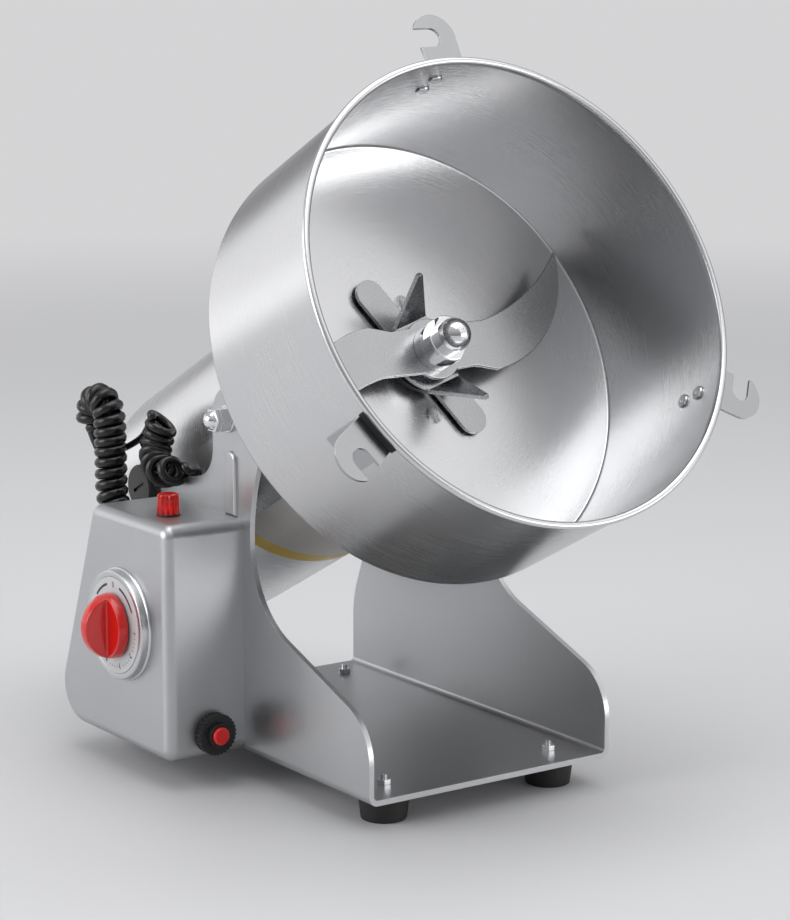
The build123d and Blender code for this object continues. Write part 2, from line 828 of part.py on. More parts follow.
bead_reach = drum_radius + bead_overhang - bead_radius
bead_along = mouth - bead_radius
hook_angles = [hook_angle + 360 / hook_count * i for i in range(hook_count)]
rivet_places = [(along, angle) for angle in hook_angles for along in rivet_spots]
with BuildPart() as drum_shell:
    with BuildSketch(drum_section):
        with BuildLine():
            FilletPolyline(
                (floor_hole_radius, drum_back),
                (drum_radius, drum_back),
                (drum_radius, bead_along),
                (drum_radius - drum_wall, bead_along),
                (drum_radius - drum_wall, drum_back + drum_floor),
                (floor_hole_radius, drum_back + drum_floor),
                radius=(0, drum_corner_radius, 0, 0, drum_inner_radius, 0),
                close=True,
            )
        make_face()
        with Locations((bead_reach, bead_along)):
            Circle(bead_radius)
    revolve(axis=drum_axis)
    with BuildSketch(*[drum_spot(along, angle, drum_radius, -1) for along, angle in rivet_places]):
        Circle(rivet_radius)
    extrude(amount=2 * drum_wall, both=True, mode=Mode.SUBTRACT)
    with BuildSketch(drum_plane(drum_back + drum_floor)):
        with PolarLocations(floor_screw_circle_radius, 4):
            Circle(floor_screw_head_radius)
    extrude(amount=-drum_floor, taper=45, mode=Mode.SUBTRACT)
save(drum_shell, "drum_shell")

with BuildPart(drum_plane(drum_back + drum_floor)) as floor_screws:
    with PolarLocations(floor_screw_circle_radius, 4):
        Cone(floor_screw_head_radius - drum_floor, floor_screw_head_radius, drum_floor, align=TOP)
        Cylinder(floor_screw_radius, floor_screw_length, align=TOP)
save(floor_screws, "floor_screws")

# One hook lies flat in the plane of the mouth, its slot open to the side.
hook_start = hook_plane - hook_sheet / 2
with BuildSketch() as hook_outline:
    with BuildLine():
        Polyline(
            (hook_tip_reach, hook_tip_side),
            (drum_radius + hook_sheet, hook_width / 2),
            (drum_radius + hook_sheet, -hook_width / 2),
            (hook_shoulder, -hook_width / 2),
        )
        ThreePointArc(
            (hook_shoulder, -hook_width / 2),
            (hook_reach, 0),
            (hook_tip_reach, hook_tip_side),
        )
    make_face()
    with Locations((slot_reach, slot_end)):
        Circle(slot_width / 2, mode=Mode.SUBTRACT)
        Rectangle(slot_width, hook_width, align=(Align.CENTER, Align.MIN), mode=Mode.SUBTRACT)

with BuildPart() as lid_hooks:
    with BuildSketch(drum_plane(hook_start)):
        with PolarLocations(0, hook_count, start_angle=hook_angle):
            add(hook_outline.sketch)
    extrude(amount=hook_sheet)
    with BuildSketch(drum_plane(hook_foot_start)):
        with PolarLocations(drum_radius + hook_sheet / 2, hook_count, start_angle=hook_angle):
            Rectangle(hook_sheet, hook_width)
    extrude(amount=hook_start + hook_sheet - hook_foot_start)
    with BuildSketch(*[drum_spot(along, angle, drum_radius, 1) for along, angle in rivet_places]):
        Circle(rivet_radius)
    extrude(amount=hook_sheet, mode=Mode.SUBTRACT)
save(lid_hooks, "lid_hooks")

rivet_seat = ((drum_radius - drum_wall) ** 2 - rivet_head_radius**2) ** 0.5
with BuildPart() as hook_rivets:
    with BuildSketch(*[drum_spot(along, angle, rivet_seat, 1) for along, angle in rivet_places]):
        Circle(rivet_radius)
    extrude(amount=drum_radius + hook_sheet - rivet_seat)
    with BuildSketch(*[drum_spot(along, angle, rivet_seat, -1) for along, angle in rivet_places]):
        Circle(rivet_head_radius)
    extrude(amount=rivet_head_height, taper=20)
    with BuildSketch(
        *[drum_spot(along, angle, drum_radius + hook_sheet, 1) for along, angle in rivet_places]
    ):
        Circle(rivet_tail_radius)
    extrude(amount=rivet_tail_height, taper=10)
    rivet_front = rivet_seat - rivet_head_height
    with BuildSketch(*[drum_spot(along, angle, rivet_front, 1) for along, angle in rivet_places]):
        Circle(rivet_hole_radius)
    extrude(amount=rivet_head_height, mode=Mode.SUBTRACT)
save(hook_rivets, "hook_rivets")

# The rubber pads fill the corner between each hook and the rolled rim.
pad_start = hook_start + hook_sheet
pad_end = bead_along - bead_radius / 2
with BuildPart() as hook_pads:
    for angle in hook_angles:
        with BuildSketch(drum_slice(angle - pad_arc / 2)):
            with Locations((drum_radius, pad_start)):
                Rectangle(pad_thickness, pad_end - pad_start, align=(Align.MIN, Align.MIN))
            with Locations((bead_reach, bead_along)):
                Circle(bead_radius, mode=Mode.SUBTRACT)
        revolve(axis=drum_axis, revolution_arc=pad_arc)
save(hook_pads, "hook_pads")

# ============================ Motor ============================


def housing_spot(along, across, reach, side):
    """Plane on the left (-1) or right (1) of the motor, facing away from its axis."""
    origin = pivot + drum_dir * along + drum_side * across + Vector(side * reach, 0, 0)
    return Plane(origin=origin, x_dir=drum_dir, z_dir=(side, 0, 0))


holder_seat = (housing_inside**2 - (brush_width / 2 + holder_wall) ** 2) ** 0.5
brush_spots = [housing_spot(-brush_back, 0, holder_seat, side) for side in (-1, 1)]
with BuildPart() as motor_housing:
    with BuildSketch(drum_plane(-housing_back)):
        Circle(housing_radius)
        Circle(housing_inside, mode=Mode.SUBTRACT)
    extrude(amount=housing_back + drum_back)
    with BuildSketch(*pivot_sides):
        Circle(stud_radius)
    extrude(amount=2 * housing_wall, mode=Mode.SUBTRACT)
    with BuildSketch(*brush_spots):
        Circle(brush_cap_neck)
    extrude(amount=2 * housing_wall, mode=Mode.SUBTRACT)
save(motor_housing, "motor_housing")

with BuildPart() as front_shield:
    with BuildSketch(drum_plane(drum_back)) as front_disc:
        Circle(housing_inside)
        Circle(shield_window_outer, mode=Mode.SUBTRACT)
        Circle(shield_window_inner + shield_spoke_width / 2)
        with PolarLocations(0, 2, angular_range=180):
            Rectangle(housing_inside + shield_window_outer, shield_spoke_width)
    extrude(amount=-front_shield_thickness)
    with BuildSketch(drum_plane(drum_back)):
        Circle(front_hub_radius)
    extrude(amount=-front_hub_length)
    with BuildSketch(drum_plane(front_bearing["start"] + front_bearing["width"])):
        Circle(front_bearing["outer"])
    extrude(amount=-front_hub_length, mode=Mode.SUBTRACT)
    with BuildSketch(drum_plane(drum_back)):
        Circle(floor_hole_radius)
    extrude(amount=-seal_depth, mode=Mode.SUBTRACT)
    with BuildSketch(drum_plane(drum_back)):
        Circle(shaft_radius + moving_gap)
    extrude(amount=-front_hub_length, mode=Mode.SUBTRACT)
    with BuildSketch(drum_plane(drum_back)):
        with PolarLocations(floor_screw_circle_radius, 4):
            Circle(floor_screw_radius)
    extrude(amount=-front_shield_thickness - floor_screw_length, mode=Mode.SUBTRACT)
save(front_shield, "front_shield")

with BuildPart() as rear_shield:
    with BuildSketch(drum_plane(-rear_shield_back)):
        Circle(housing_inside)
        Circle(rear_window_outer, mode=Mode.SUBTRACT)
        with PolarLocations(0, 2, start_angle=45, angular_range=180):
            Rectangle(housing_inside + rear_window_outer, shield_spoke_width)
        Circle(rear_hub_radius)
    extrude(amount=rear_shield_thickness)
    with BuildSketch(drum_plane(-rear_shield_back)):
        Circle(rear_hub_radius)
    extrude(amount=rear_hub_length)
    with BuildSketch(drum_plane(rear_bearing["start"])):
        Circle(rear_bearing["outer"])
    extrude(amount=rear_hub_length, mode=Mode.SUBTRACT)
    with BuildSketch(drum_plane(-rear_shield_back)):
        with PolarLocations(cap_screw_circle_radius, 4):
            Circle(cap_screw_radius)
    extrude(amount=rear_shield_thickness, mode=Mode.SUBTRACT)
save(rear_shield, "rear_shield")

with BuildPart() as rear_cap:
    with BuildSketch(drum_plane(-housing_back)):
        Circle(housing_radius)
    extrude(amount=-rear_cap_thickness)
    fillet(rear_cap.edges().sort_by(drum_axis)[0], rear_cap_edge_radius)
    with BuildSketch(drum_plane(-housing_back)):
        Circle(housing_inside)
        Circle(housing_inside - housing_wall, mode=Mode.SUBTRACT)
    extrude(amount=rear_cap_rim)
    with BuildSketch(drum_plane(-housing_back)):
        with PolarLocations(
            (vent_inner + vent_outer) / 2,
            vent_count,
            start_angle=180 / vent_count,
        ):
            SlotOverall(vent_outer - vent_inner, vent_width)
        with PolarLocations(cap_screw_circle_radius, 4):
            Circle(cap_screw_radius)
    extrude(amount=-rear_cap_thickness, mode=Mode.SUBTRACT)
save(rear_cap, "rear_cap")

with BuildPart(drum_plane(-housing_back - rear_cap_thickness)) as cap_screws:
    with PolarLocations(cap_screw_circle_radius, 4):
        Cylinder(cap_screw_head_radius, cap_screw_head_height, align=TOP)
        Cylinder(cap_screw_radius, cap_screw_length, align=BOTTOM)
save(cap_screws, "cap_screws")


def race_edges(bearing):
    """Outer radius of the inner race and inner radius of the outer race."""
    depth = (bearing["outer"] - bearing["inner"]) * race_share
    return bearing["inner"] + depth, bearing["outer"] - depth


bearings = (front_bearing, rear_bearing)
bearing_outer_rings = turned_rings(
    [(b["start"], b["start"] + b["width"], b["outer"], race_edges(b)[1]) for b in bearings]
)
save(bearing_outer_rings, "bearing_outer_rings")
bearing_inner_rings = turned_rings(
    [(b["start"], b["start"] + b["width"], race_edges(b)[0], b["inner"]) for b in bearings]
)
save(bearing_inner_rings, "bearing_inner_rings")
with BuildPart() as bearing_balls:
    for bearing in bearings:
        inner_edge, outer_edge = race_edges(bearing)
        ball_ring = drum_plane(bearing["start"] + bearing["width"] / 2)
        with Locations(ball_ring):
            with PolarLocations((inner_edge + outer_edge) / 2, ball_count):
                Sphere((outer_edge - inner_edge) / 2 - ball_gap)
save(bearing_balls, "bearing_balls")

shaft_seal = turned_rings(
    [
        (drum_back - seal_depth, drum_back + drum_floor, floor_hole_radius, shaft_radius + running_gap),
        (
            drum_back + drum_floor,
            drum_back + drum_floor + seal_flange,
            seal_flange_radius,
            shaft_radius + running_gap,
        ),
    ]
)
save(shaft_seal, "shaft_seal")

# Stator: a yoke ring with two poles, and one coil round each pole's neck.
stator_length = stator_back - stator_front
with BuildPart() as stator_core:
    with BuildSketch(drum_plane(-stator_back)):
        Circle(stator_yoke_radius)
        Rectangle(pole_neck_width, 2 * stator_yoke_radius, mode=Mode.INTERSECT)
        Circle(housing_inside)
        Circle(stator_yoke_radius, mode=Mode.SUBTRACT)
        Rectangle(pole_neck_width, stator_yoke_radius + housing_inside)
        Circle(stator_bore, mode=Mode.SUBTRACT)
    extrude(amount=stator_length)
    with BuildSketch(drum_plane(-stator_back)):
        Circle(pole_shoe_radius)
        Rectangle(pole_shoe_width, 2 * pole_shoe_radius, mode=Mode.INTERSECT)
        Circle(stator_bore, mode=Mode.SUBTRACT)
    extrude(amount=stator_length)
save(stator_core, "stator_core")

with BuildPart() as stator_windings:
    for side in (-1, 1):
        origin = pivot - drum_dir * (stator_back + stator_front) / 2 + drum_side * side * pole_shoe_radius
        coil_plane = Plane(origin=origin, x_dir=(1, 0, 0), z_dir=drum_side * side)
        with BuildSketch(coil_plane):
            RectangleRounded(
                pole_neck_width + 2 * coil_side,
                stator_length + 2 * coil_overhang,
                coil_side / 2,
            )
            Rectangle(pole_neck_width, stator_length, mode=Mode.SUBTRACT)
        extrude(amount=coil_outer - pole_shoe_radius)
    with BuildSketch(drum_plane(-stator_back - coil_overhang)):
        Circle(stator_yoke_radius - moving_gap)
    extrude(amount=stator_length + 2 * coil_overhang, mode=Mode.INTERSECT)
save(stator_windings, "stator_windings")

# Brush gear: square holders on both sides of the commutator, with screw caps outside.
brush_start = commutator_radius + running_gap
with BuildPart() as brush_holders:
    for side in (-1, 1):
        with BuildSketch(housing_spot(-brush_back, 0, holder_end, side)):
            Rectangle(brush_height + 2 * holder_wall, brush_width + 2 * holder_wall)
            Rectangle(brush_height, brush_width, mode=Mode.SUBTRACT)
        extrude(amount=holder_seat - holder_end)
save(brush_holders, "brush_holders")

with BuildPart() as carbon_brushes:
    for side in (-1, 1):
        with BuildSketch(housing_spot(-brush_back, 0, brush_start, side)):
            Rectangle(brush_height, brush_width)
        extrude(amount=brush_length)
save(carbon_brushes, "carbon_brushes")

brush_spring_start = brush_start + brush_length
left_spring, right_spring = [
    coil_spring(
        housing_spot(-brush_back, 0, brush_spring_start, side),
        brush_spring_radius,
        brush_spring_wire,
        brush_spring_turns,
        holder_seat - brush_spring_start,
    )
    for side in (-1, 1)
]
with BuildPart() as brush_springs:
    add(left_spring.part)
    add(right_spring.part)
save(brush_springs, "brush_springs")

with BuildPart() as brush_caps:
    for side in (-1, 1):
        with BuildSketch(housing_spot(-brush_back, 0, holder_seat, side)):
            Circle(brush_cap_radius)
        extrude(amount=housing_radius + brush_cap_height - holder_seat)
    fillet(brush_caps.faces().sort_by(Axis.X)[0].edges(), brush_cap_edge_radius)
    fillet(brush_caps.faces().sort_by(Axis.X)[-1].edges(), brush_cap_edge_radius)
    with BuildSketch(drum_plane(-brush_back - brush_cap_radius)):
        Circle(housing_radius)
    extrude(amount=2 * brush_cap_radius, mode=Mode.SUBTRACT)
    for side in (-1, 1):
        with BuildSketch(housing_spot(-brush_back, 0, holder_seat, side)):
            Circle(brush_cap_neck)
        extrude(amount=housing_radius - holder_seat)
        with BuildSketch(housing_spot(-brush_back, 0, housing_radius + brush_cap_height, side)):
            Rectangle(2 * brush_cap_neck, brush_slot_width)
        extrude(amount=-brush_slot_depth, mode=Mode.SUBTRACT)
save(brush_caps, "brush_caps")

with BuildPart() as cord_elbow:
    with BuildSketch(housing_spot(elbow_along, elbow_side, housing_radius, -1)):
        Circle(elbow_width / 2)
    extrude(amount=wall_face - sheet - housing_radius - moving_gap)
save(cord_elbow, "cord_elbow")

# ============================ Rotor ============================

with BuildPart() as rotor_shaft:
    with BuildSketch(drum_section):
        with BuildLine():
            Polyline(
                (0, -shaft_rear_end),
                (rear_bearing["inner"], -shaft_rear_end),
                (rear_bearing["inner"], rear_bearing["start"] + rear_bearing["width"]),
                (shaft_radius, rear_bearing["start"] + rear_bearing["width"]),
                (shaft_radius, front_bearing["start"]),
                (front_bearing["inner"], front_bearing["start"]),
                (front_bearing["inner"], front_bearing["start"] + front_bearing["width"]),
                (shaft_radius, front_bearing["start"] + front_bearing["width"]),
                (shaft_radius, shaft_front_end),
                (thread_radius, shaft_front_end),
                (thread_radius, thread_end),
                (0, thread_end),
                close=True,
            )
        make_face()
    revolve(axis=drum_axis)
save(rotor_shaft, "rotor_shaft")

with BuildPart() as armature_core:
    with BuildSketch(drum_plane(-stator_back)):
        Circle(armature_radius)
        with PolarLocations(armature_radius - armature_slot_depth / 2, armature_slots):
            Rectangle(armature_slot_depth, armature_slot_width, mode=Mode.SUBTRACT)
        Circle(shaft_radius, mode=Mode.SUBTRACT)
    extrude(amount=stator_length)
save(armature_core, "armature_core")

armature_windings = turned_rings(
    [
        (-stator_back - winding_length, -stator_back, winding_radius, shaft_radius),
        (-stator_front, -stator_front + winding_length, winding_radius, shaft_radius),
    ]
)
save(armature_windings, "armature_windings")

with BuildPart() as commutator:
    with BuildSketch(drum_plane(-commutator_start)):
        Circle(commutator_radius)
        with PolarLocations(commutator_radius, commutator_bars):
            Rectangle(2 * commutator_groove, commutator_groove, mode=Mode.SUBTRACT)
        Circle(shaft_radius, mode=Mode.SUBTRACT)
    extrude(amount=commutator_length)
save(commutator, "commutator")

with BuildPart() as cooling_fan:
    with BuildSketch(drum_plane(fan_start)):
        Circle(fan_radius)
        Circle(shaft_radius, mode=Mode.SUBTRACT)
    extrude(amount=fan_plate)
    with BuildSketch(drum_plane(fan_start)):
        Circle(fan_hub_radius)
        with PolarLocations(fan_vane_reach / 2, fan_vanes):
            Rectangle(fan_vane_reach, fan_vane)
        Circle(shaft_radius, mode=Mode.SUBTRACT)
    extrude(amount=fan_height)
save(cooling_fan, "cooling_fan")

# ============================ Blades and hub ============================

hub_spacers = turned_rings(
    [
        (lower_blade_start + blade, bent_blade_start, hub_radius, thread_radius),
        (bent_blade_start + blade, sickle_start, hub_radius, thread_radius),
        (sickle_start + blade, hub_top, hub_radius, thread_radius),
    ]
)
save(hub_spacers, "hub_spacers")

with BuildPart() as lower_blade:
    with BuildSketch(drum_plane(lower_blade_start)):
        SlotOverall(2 * lower_blade_reach, lower_blade_width, rotation=lower_blade_angle)
        Circle(thread_radius, mode=Mode.SUBTRACT)
    extrude(amount=blade)
save(lower_blade, "lower_blade")

with BuildPart() as bent_blade:
    with BuildSketch(drum_plane(bent_blade_start)):
        Circle(bent_disc_radius)
        with PolarLocations(0, 2, start_angle=bent_blade_angle):
            with Locations((bent_root_reach / 2, 0)):
                Rectangle(bent_root_reach, bent_root_width)
    extrude(amount=blade)
    for angle in (bent_blade_angle, bent_blade_angle + 180):
        outward = Vector(1, 0, 0) * cos(radians(angle)) + drum_side * sin(radians(angle))
        rise = bent_tip_height - bent_blade_start - blade
        slope = outward * (bent_tip_reach - bent_root_reach) + drum_dir * rise
        wing = Plane(
            origin=pivot + drum_dir * bent_blade_start + outward * bent_root_reach,
            x_dir=slope,
            z_dir=slope.cross(outward.cross(drum_dir)),
        )
        with BuildSketch(wing):
            with BuildLine():
                Polyline(
                    (0, -bent_root_width / 2),
                    (slope.length, -bent_tip_width / 2),
                    (slope.length, bent_tip_width / 2),
                    (0, bent_root_width / 2),
                    close=True,
                )
            make_face()
        extrude(amount=-blade)
    with BuildSketch(drum_plane(bent_blade_start)):
        Circle(thread_radius)
    extrude(amount=blade, mode=Mode.SUBTRACT)
save(bent_blade, "bent_blade")

with BuildSketch() as sickle_arm:
    with BuildLine():
        Polyline((0, -sickle_neck[1]), sickle_root, sickle_heel)
        ThreePointArc(sickle_heel, sickle_back, sickle_tip)
        ThreePointArc(sickle_tip, sickle_edge, sickle_neck)
        Polyline(sickle_neck, (0, sickle_neck[1]), (0, -sickle_neck[1]))
    make_face()

with BuildPart() as sickle_blade:
    with BuildSketch(drum_plane(sickle_start)):
        Circle(sickle_disc_radius)
        with PolarLocations(0, 2):
            add(sickle_arm.sketch)
        Circle(thread_radius, mode=Mode.SUBTRACT)
    extrude(amount=blade)
save(sickle_blade, "sickle_blade")

with BuildPart(drum_plane(hub_top)) as hub_nut:
    Cylinder(hub_radius, hub_nut_height, align=BOTTOM)
    fillet(hub_nut.edges().sort_by(drum_axis)[-1], hub_nut_edge_radius)
    with BuildSketch(drum_plane(hub_top + hub_nut_height)):
        Rectangle(3 * hub_radius, 3 * hub_radius, rotation=hub_flat_turn)
        Rectangle(3 * hub_radius, hub_flats, rotation=hub_flat_turn, mode=Mode.SUBTRACT)
    extrude(amount=-hub_flat_length, mode=Mode.SUBTRACT)
    with BuildSketch(drum_plane(hub_top + hub_nut_height)):
        Circle(hub_dome_radius)
    extrude(amount=hub_dome_height)
    with Locations((0, 0, hub_nut_height + hub_dome_height)):
        Sphere(hub_dome_radius, arc_size1=0, align=BOTTOM)
    Cylinder(thread_radius, thread_end - hub_top, align=BOTTOM, mode=Mode.SUBTRACT)
save(hub_nut, "hub_nut")

# ============================ Curly cord ============================


def stand_point(x, back, height):
    """A point given from the stand's middle."""
    return Vector(stand_x + x, stand_y + back, height)


def run_radii(points):
    """Tangent arcs as large as the two runs at each corner allow."""
    radii = []
    for before, here, after in zip(points, points[1:], points[2:]):
        first = here - before
        second = after - here
        half_turn = radians(first.get_angle(second)) / 2
        radii.append(0.45 * min(first.length, second.length) / tan(half_turn))
    return radii


def tube(points, radius, name):
    """Closed round tube along straight runs joined by tangent arcs."""
    radii = run_radii(points)
    print(name, "arc radii:", [round(r, 1) for r in radii])
    with BuildPart() as lead:
        with BuildLine() as route:
            FilletPolyline(*points, radius=radii)
        with BuildSketch(Plane(route.line @ 0, z_dir=route.line % 0)):
            Circle(radius)
        sweep(path=route.line)
    swept = pi * radius**2 * route.wire().length
    print(name, "volume over section times length:", round(lead.part.volume / swept, 4))
    return lead


gland_face = cord_gland_plane.offset(gland_flange).origin
rear_coil_points = [
    gland_face,
    gland_face + cord_gland_plane.z_dir * cord_gland_lead,
    stand_point(-78.3, 93.8, 117),
    stand_point(-78.0, 94.2, 134),
    stand_point(-78.0, 94.6, 155.3),
    stand_point(-78.0, 99.8, 160.5),
    stand_point(-78.0, 107.2, 160.5),
    stand_point(-77.8, 112.4, 155.3),
    stand_point(-77.0, 113.0, 144),
]
strand_points = [
    stand_point(-77.0, 113.0, 144),
    stand_point(-76.4, 113.4, 136),
    stand_point(-72.5, 106.5, 132.5),
    stand_point(-67.8, 95.0, 138.0),
    stand_point(-67.6, 84.0, 143.0),
    stand_point(-68.8, 73.5, 148.5),
    stand_point(-68.9, 65.0, 153.0),
]
front_coil_points = [
    stand_point(-68.8, 64.5, 158.0),
    stand_point(-69.0, 65.2, 151.0),
    stand_point(-70.5, 71.5, 139.5),
    stand_point(-74.5, 67.0, 131.5),
    stand_point(-75.5, 58.0, 130.5),
]
tail_points = [
    stand_point(-75.5, 58.0, 130.5),
    stand_point(-74.5, 53.0, 131.0),
    stand_point(-68.0, 48.0, 136.5),
    stand_point(-60.45, 45.0, 134.5),
    stand_point(-60.45, 46.5, 119.0),
    stand_point(-60.45, 44.5, 104.0),
    stand_point(-60.45, 38.0, 97.5),
    stand_point(-60.45, 30.5, 104.0),
    stand_point(-60.45, 29.4, 115.0),
    stand_point(-60.45, 30.1, 126.0),
]
rear_coil = tube(rear_coil_points, coil_radius, "rear coil")
front_coil = tube(front_coil_points, coil_radius, "front coil")
strand = tube(strand_points, lead_radius, "strand between the coils")
tail = tube(tail_points, lead_radius, "tail to the motor")
with BuildPart() as cord_coils:
    add(rear_coil.part)
    add(front_coil.part)
save(cord_coils, "cord_coils")
with BuildPart() as cord_lead:
    add(strand.part)
    add(tail.part)
save(cord_lead, "cord_lead")
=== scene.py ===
import math

import bmesh
import bpy
from mathutils import Matrix, Vector


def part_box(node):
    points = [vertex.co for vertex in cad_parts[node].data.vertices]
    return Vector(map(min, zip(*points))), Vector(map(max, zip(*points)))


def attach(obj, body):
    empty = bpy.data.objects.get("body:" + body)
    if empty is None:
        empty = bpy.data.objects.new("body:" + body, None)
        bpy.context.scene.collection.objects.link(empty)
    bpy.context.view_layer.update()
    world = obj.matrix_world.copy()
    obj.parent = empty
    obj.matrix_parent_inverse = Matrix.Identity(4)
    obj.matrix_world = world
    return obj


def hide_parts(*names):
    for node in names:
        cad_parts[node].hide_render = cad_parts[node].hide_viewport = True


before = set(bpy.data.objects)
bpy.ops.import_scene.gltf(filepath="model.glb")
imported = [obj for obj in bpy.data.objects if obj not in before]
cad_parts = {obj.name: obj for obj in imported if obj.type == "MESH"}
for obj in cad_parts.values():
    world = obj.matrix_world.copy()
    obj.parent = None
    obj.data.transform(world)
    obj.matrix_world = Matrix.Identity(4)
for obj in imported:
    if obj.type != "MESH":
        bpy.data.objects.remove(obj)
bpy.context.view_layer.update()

# ======================= Studio =======================
# A pale floor that runs out of sight, a wide lamp over the mill, two on its left and two
# in front, and a camera a little above the drum. None of it is part of the mill.
scene = bpy.context.scene
scene.view_settings.view_transform = "Standard"
bracket_low, bracket_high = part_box("stand_bracket")
stand_x = (bracket_low[0] + bracket_high[0]) / 2
stand_y = (bracket_low[1] + bracket_high[1]) / 2

camera_data = bpy.data.cameras.new("camera")
camera_data.lens = 104.91
camera_data.sensor_width = 36
camera_data.clip_start = 0.05
camera_data.clip_end = 60
camera = bpy.data.objects.new("camera", camera_data)
camera.matrix_world = (
    Matrix.Translation((stand_x - 0.6836, stand_y - 0.986, 0.3598))
    @ Matrix.Rotation(math.radians(-35.4263), 4, "Z")
    @ Matrix.Rotation(math.radians(90 - 10.4094), 4, "X")
    @ Matrix.Rotation(0.0036, 4, "Z")
)
scene.collection.objects.link(camera)
scene.camera = camera


def new_shader(name, colour=(0.5, 0.5, 0.5), roughness=0.5, metallic=0.0):
    """A material with its Principled shader; colour in linear light."""
    material = bpy.data.materials.new(name)
    material.use_nodes = True
    shader = material.node_tree.nodes["Principled BSDF"]
    shader.inputs["Base Color"].default_value = (*colour, 1)
    shader.inputs["Roughness"].default_value = roughness
    shader.inputs["Metallic"].default_value = metallic
    return material, material.node_tree, shader


def math_node(tree, operation, first, second):
    """Maths on two sockets or numbers."""
    node = tree.nodes.new("ShaderNodeMath")
    node.operation = operation
    for socket, value in zip(node.inputs, (first, second)):
        if isinstance(value, (int, float)):
            socket.default_value = value
        else:
            tree.links.new(value, socket)
    return node.outputs[0]


def backed(tree, share, front, back, output):
    """Shows the shader `back` instead of `front` by a share."""
    blend = tree.nodes.new("ShaderNodeMixShader")
    tree.links.new(share, blend.inputs[0])
    tree.links.new(front.outputs[0], blend.inputs[1])
    tree.links.new(back.outputs[0], blend.inputs[2])
    tree.links.new(blend.outputs[0], tree.nodes[output].inputs["Surface"])


floor_reach = 30
floor_work = bmesh.new()
bmesh.ops.create_grid(floor_work, x_segments=1, y_segments=1, size=floor_reach)
floor_mesh = bpy.data.meshes.new("floor")
floor_work.to_mesh(floor_mesh)
floor_work.free()
floor = bpy.data.objects.new("floor", floor_mesh)
scene.collection.objects.link(floor)
backdrop_colour = (0.66, 0.66, 0.67, 1)
floor_material, tree, shader = new_shader("pale_floor", (0.60, 0.60, 0.61), 0.55)
floor_mesh.materials.append(floor_material)
place = tree.nodes.new("ShaderNodeTexCoord")
reach = tree.nodes.new("ShaderNodeVectorMath")
reach.operation = "LENGTH"
tree.links.new(place.outputs["Object"], reach.inputs[0])
# Far out the floor turns into the plain backdrop, for the eye and for what metal mirrors.
far = tree.nodes.new("ShaderNodeMapRange")
far.interpolation_type = "SMOOTHSTEP"
far.inputs["From Min"].default_value = 0.9
far.inputs["From Max"].default_value = 2.6
tree.links.new(reach.outputs["Value"], far.inputs["Value"])
path = tree.nodes.new("ShaderNodeLightPath")
seen = math_node(tree, "MAXIMUM", path.outputs["Is Camera Ray"], path.outputs["Is Glossy Ray"])
seen = math_node(tree, "MAXIMUM", seen, path.outputs["Is Transmission Ray"])
pale = tree.nodes.new("ShaderNodeEmission")
pale.inputs["Color"].default_value = backdrop_colour
backed(tree, math_node(tree, "MULTIPLY", far.outputs[0], seen), shader, pale, "Material Output")

world = bpy.data.worlds.new("studio")
scene.world = world
world.use_nodes = True
sky = world.node_tree
room = sky.nodes["Background"]
heading = sky.nodes.new("ShaderNodeTexCoord")
split = sky.nodes.new("ShaderNodeSeparateXYZ")
sky.links.new(heading.outputs["Generated"], split.inputs[0])
# Pale at the horizon, dim just over it, and light again towards the ceiling.
fade = sky.nodes.new("ShaderNodeValToRGB")
horizon, ceiling = fade.color_ramp.elements
horizon.position, horizon.color = 0.0, (0.88, 0.88, 0.89, 1)
ceiling.position, ceiling.color = 0.75, (0.80, 0.81, 0.83, 1)
dim = fade.color_ramp.elements.new(0.05)
dim.color = (0.24, 0.24, 0.25, 1)
sky.links.new(split.outputs["Z"], fade.inputs[0])
sky.links.new(fade.outputs[0], room.inputs["Color"])
room.inputs["Strength"].default_value = 0.75
behind = sky.nodes.new("ShaderNodeBackground")
behind.inputs["Color"].default_value = backdrop_colour
path = sky.nodes.new("ShaderNodeLightPath")
seen = math_node(sky, "MAXIMUM", path.outputs["Is Camera Ray"], path.outputs["Is Transmission Ray"])
backed(sky, seen, room, behind, "World Output")

mill_middle = Vector((0, 0, 0.16))
for name, place, size, power, tint in (
    ("lamp_over", (0.1, -0.2, 1.7), (1.6, 1.6), 17, (1, 1, 1)),
    ("lamp_left", (-1.9, 0.55, 0.85), (1.5, 1.3), 21, (1, 1, 1)),
    ("lamp_back_left", (-0.9, 2.3, 0.5), (2.6, 1.4), 9, (1, 1, 1)),
    ("lamp_front", (1.2, -1.5, 1.25), (2.2, 2.0), 8, (1, 0.99, 0.97)),
    ("lamp_low", (1.5, -2.2, 0.35), (1.8, 0.6), 15, (1, 1, 1)),
):
    light_data = bpy.data.lights.new(name, "AREA")
    light_data.shape = "RECTANGLE"
    light_data.size, light_data.size_y = size
    light_data.energy = power
    light_data.color = tint
    light = bpy.data.objects.new(name, light_data)
    turn = (mill_middle - Vector(place)).to_track_quat("-Z", "Y")
    light.matrix_world = Matrix.Translation(place) @ turn.to_matrix().to_4x4()
    light.visible_camera = False
    scene.collection.objects.link(light)


# ======================= Stand =======================
# One bent stainless sheet, 2.5 mm thick: floor plate and two arms, satin finished along
# its height, with its cut edges eased, and a pressed rib under each pivot.


def node_group(name, inputs, outputs):
    """A shader node group with its sockets; gives the group, its entry and its exit."""
    group = bpy.data.node_groups.new(name, "ShaderNodeTree")
    for label, kind, value in inputs:
        socket = group.interface.new_socket(label, in_out="INPUT", socket_type=kind)
        if value is not None:
            socket.default_value = value
    for label, kind in outputs:
        group.interface.new_socket(label, in_out="OUTPUT", socket_type=kind)
    return group, group.nodes.new("NodeGroupInput"), group.nodes.new("NodeGroupOutput")


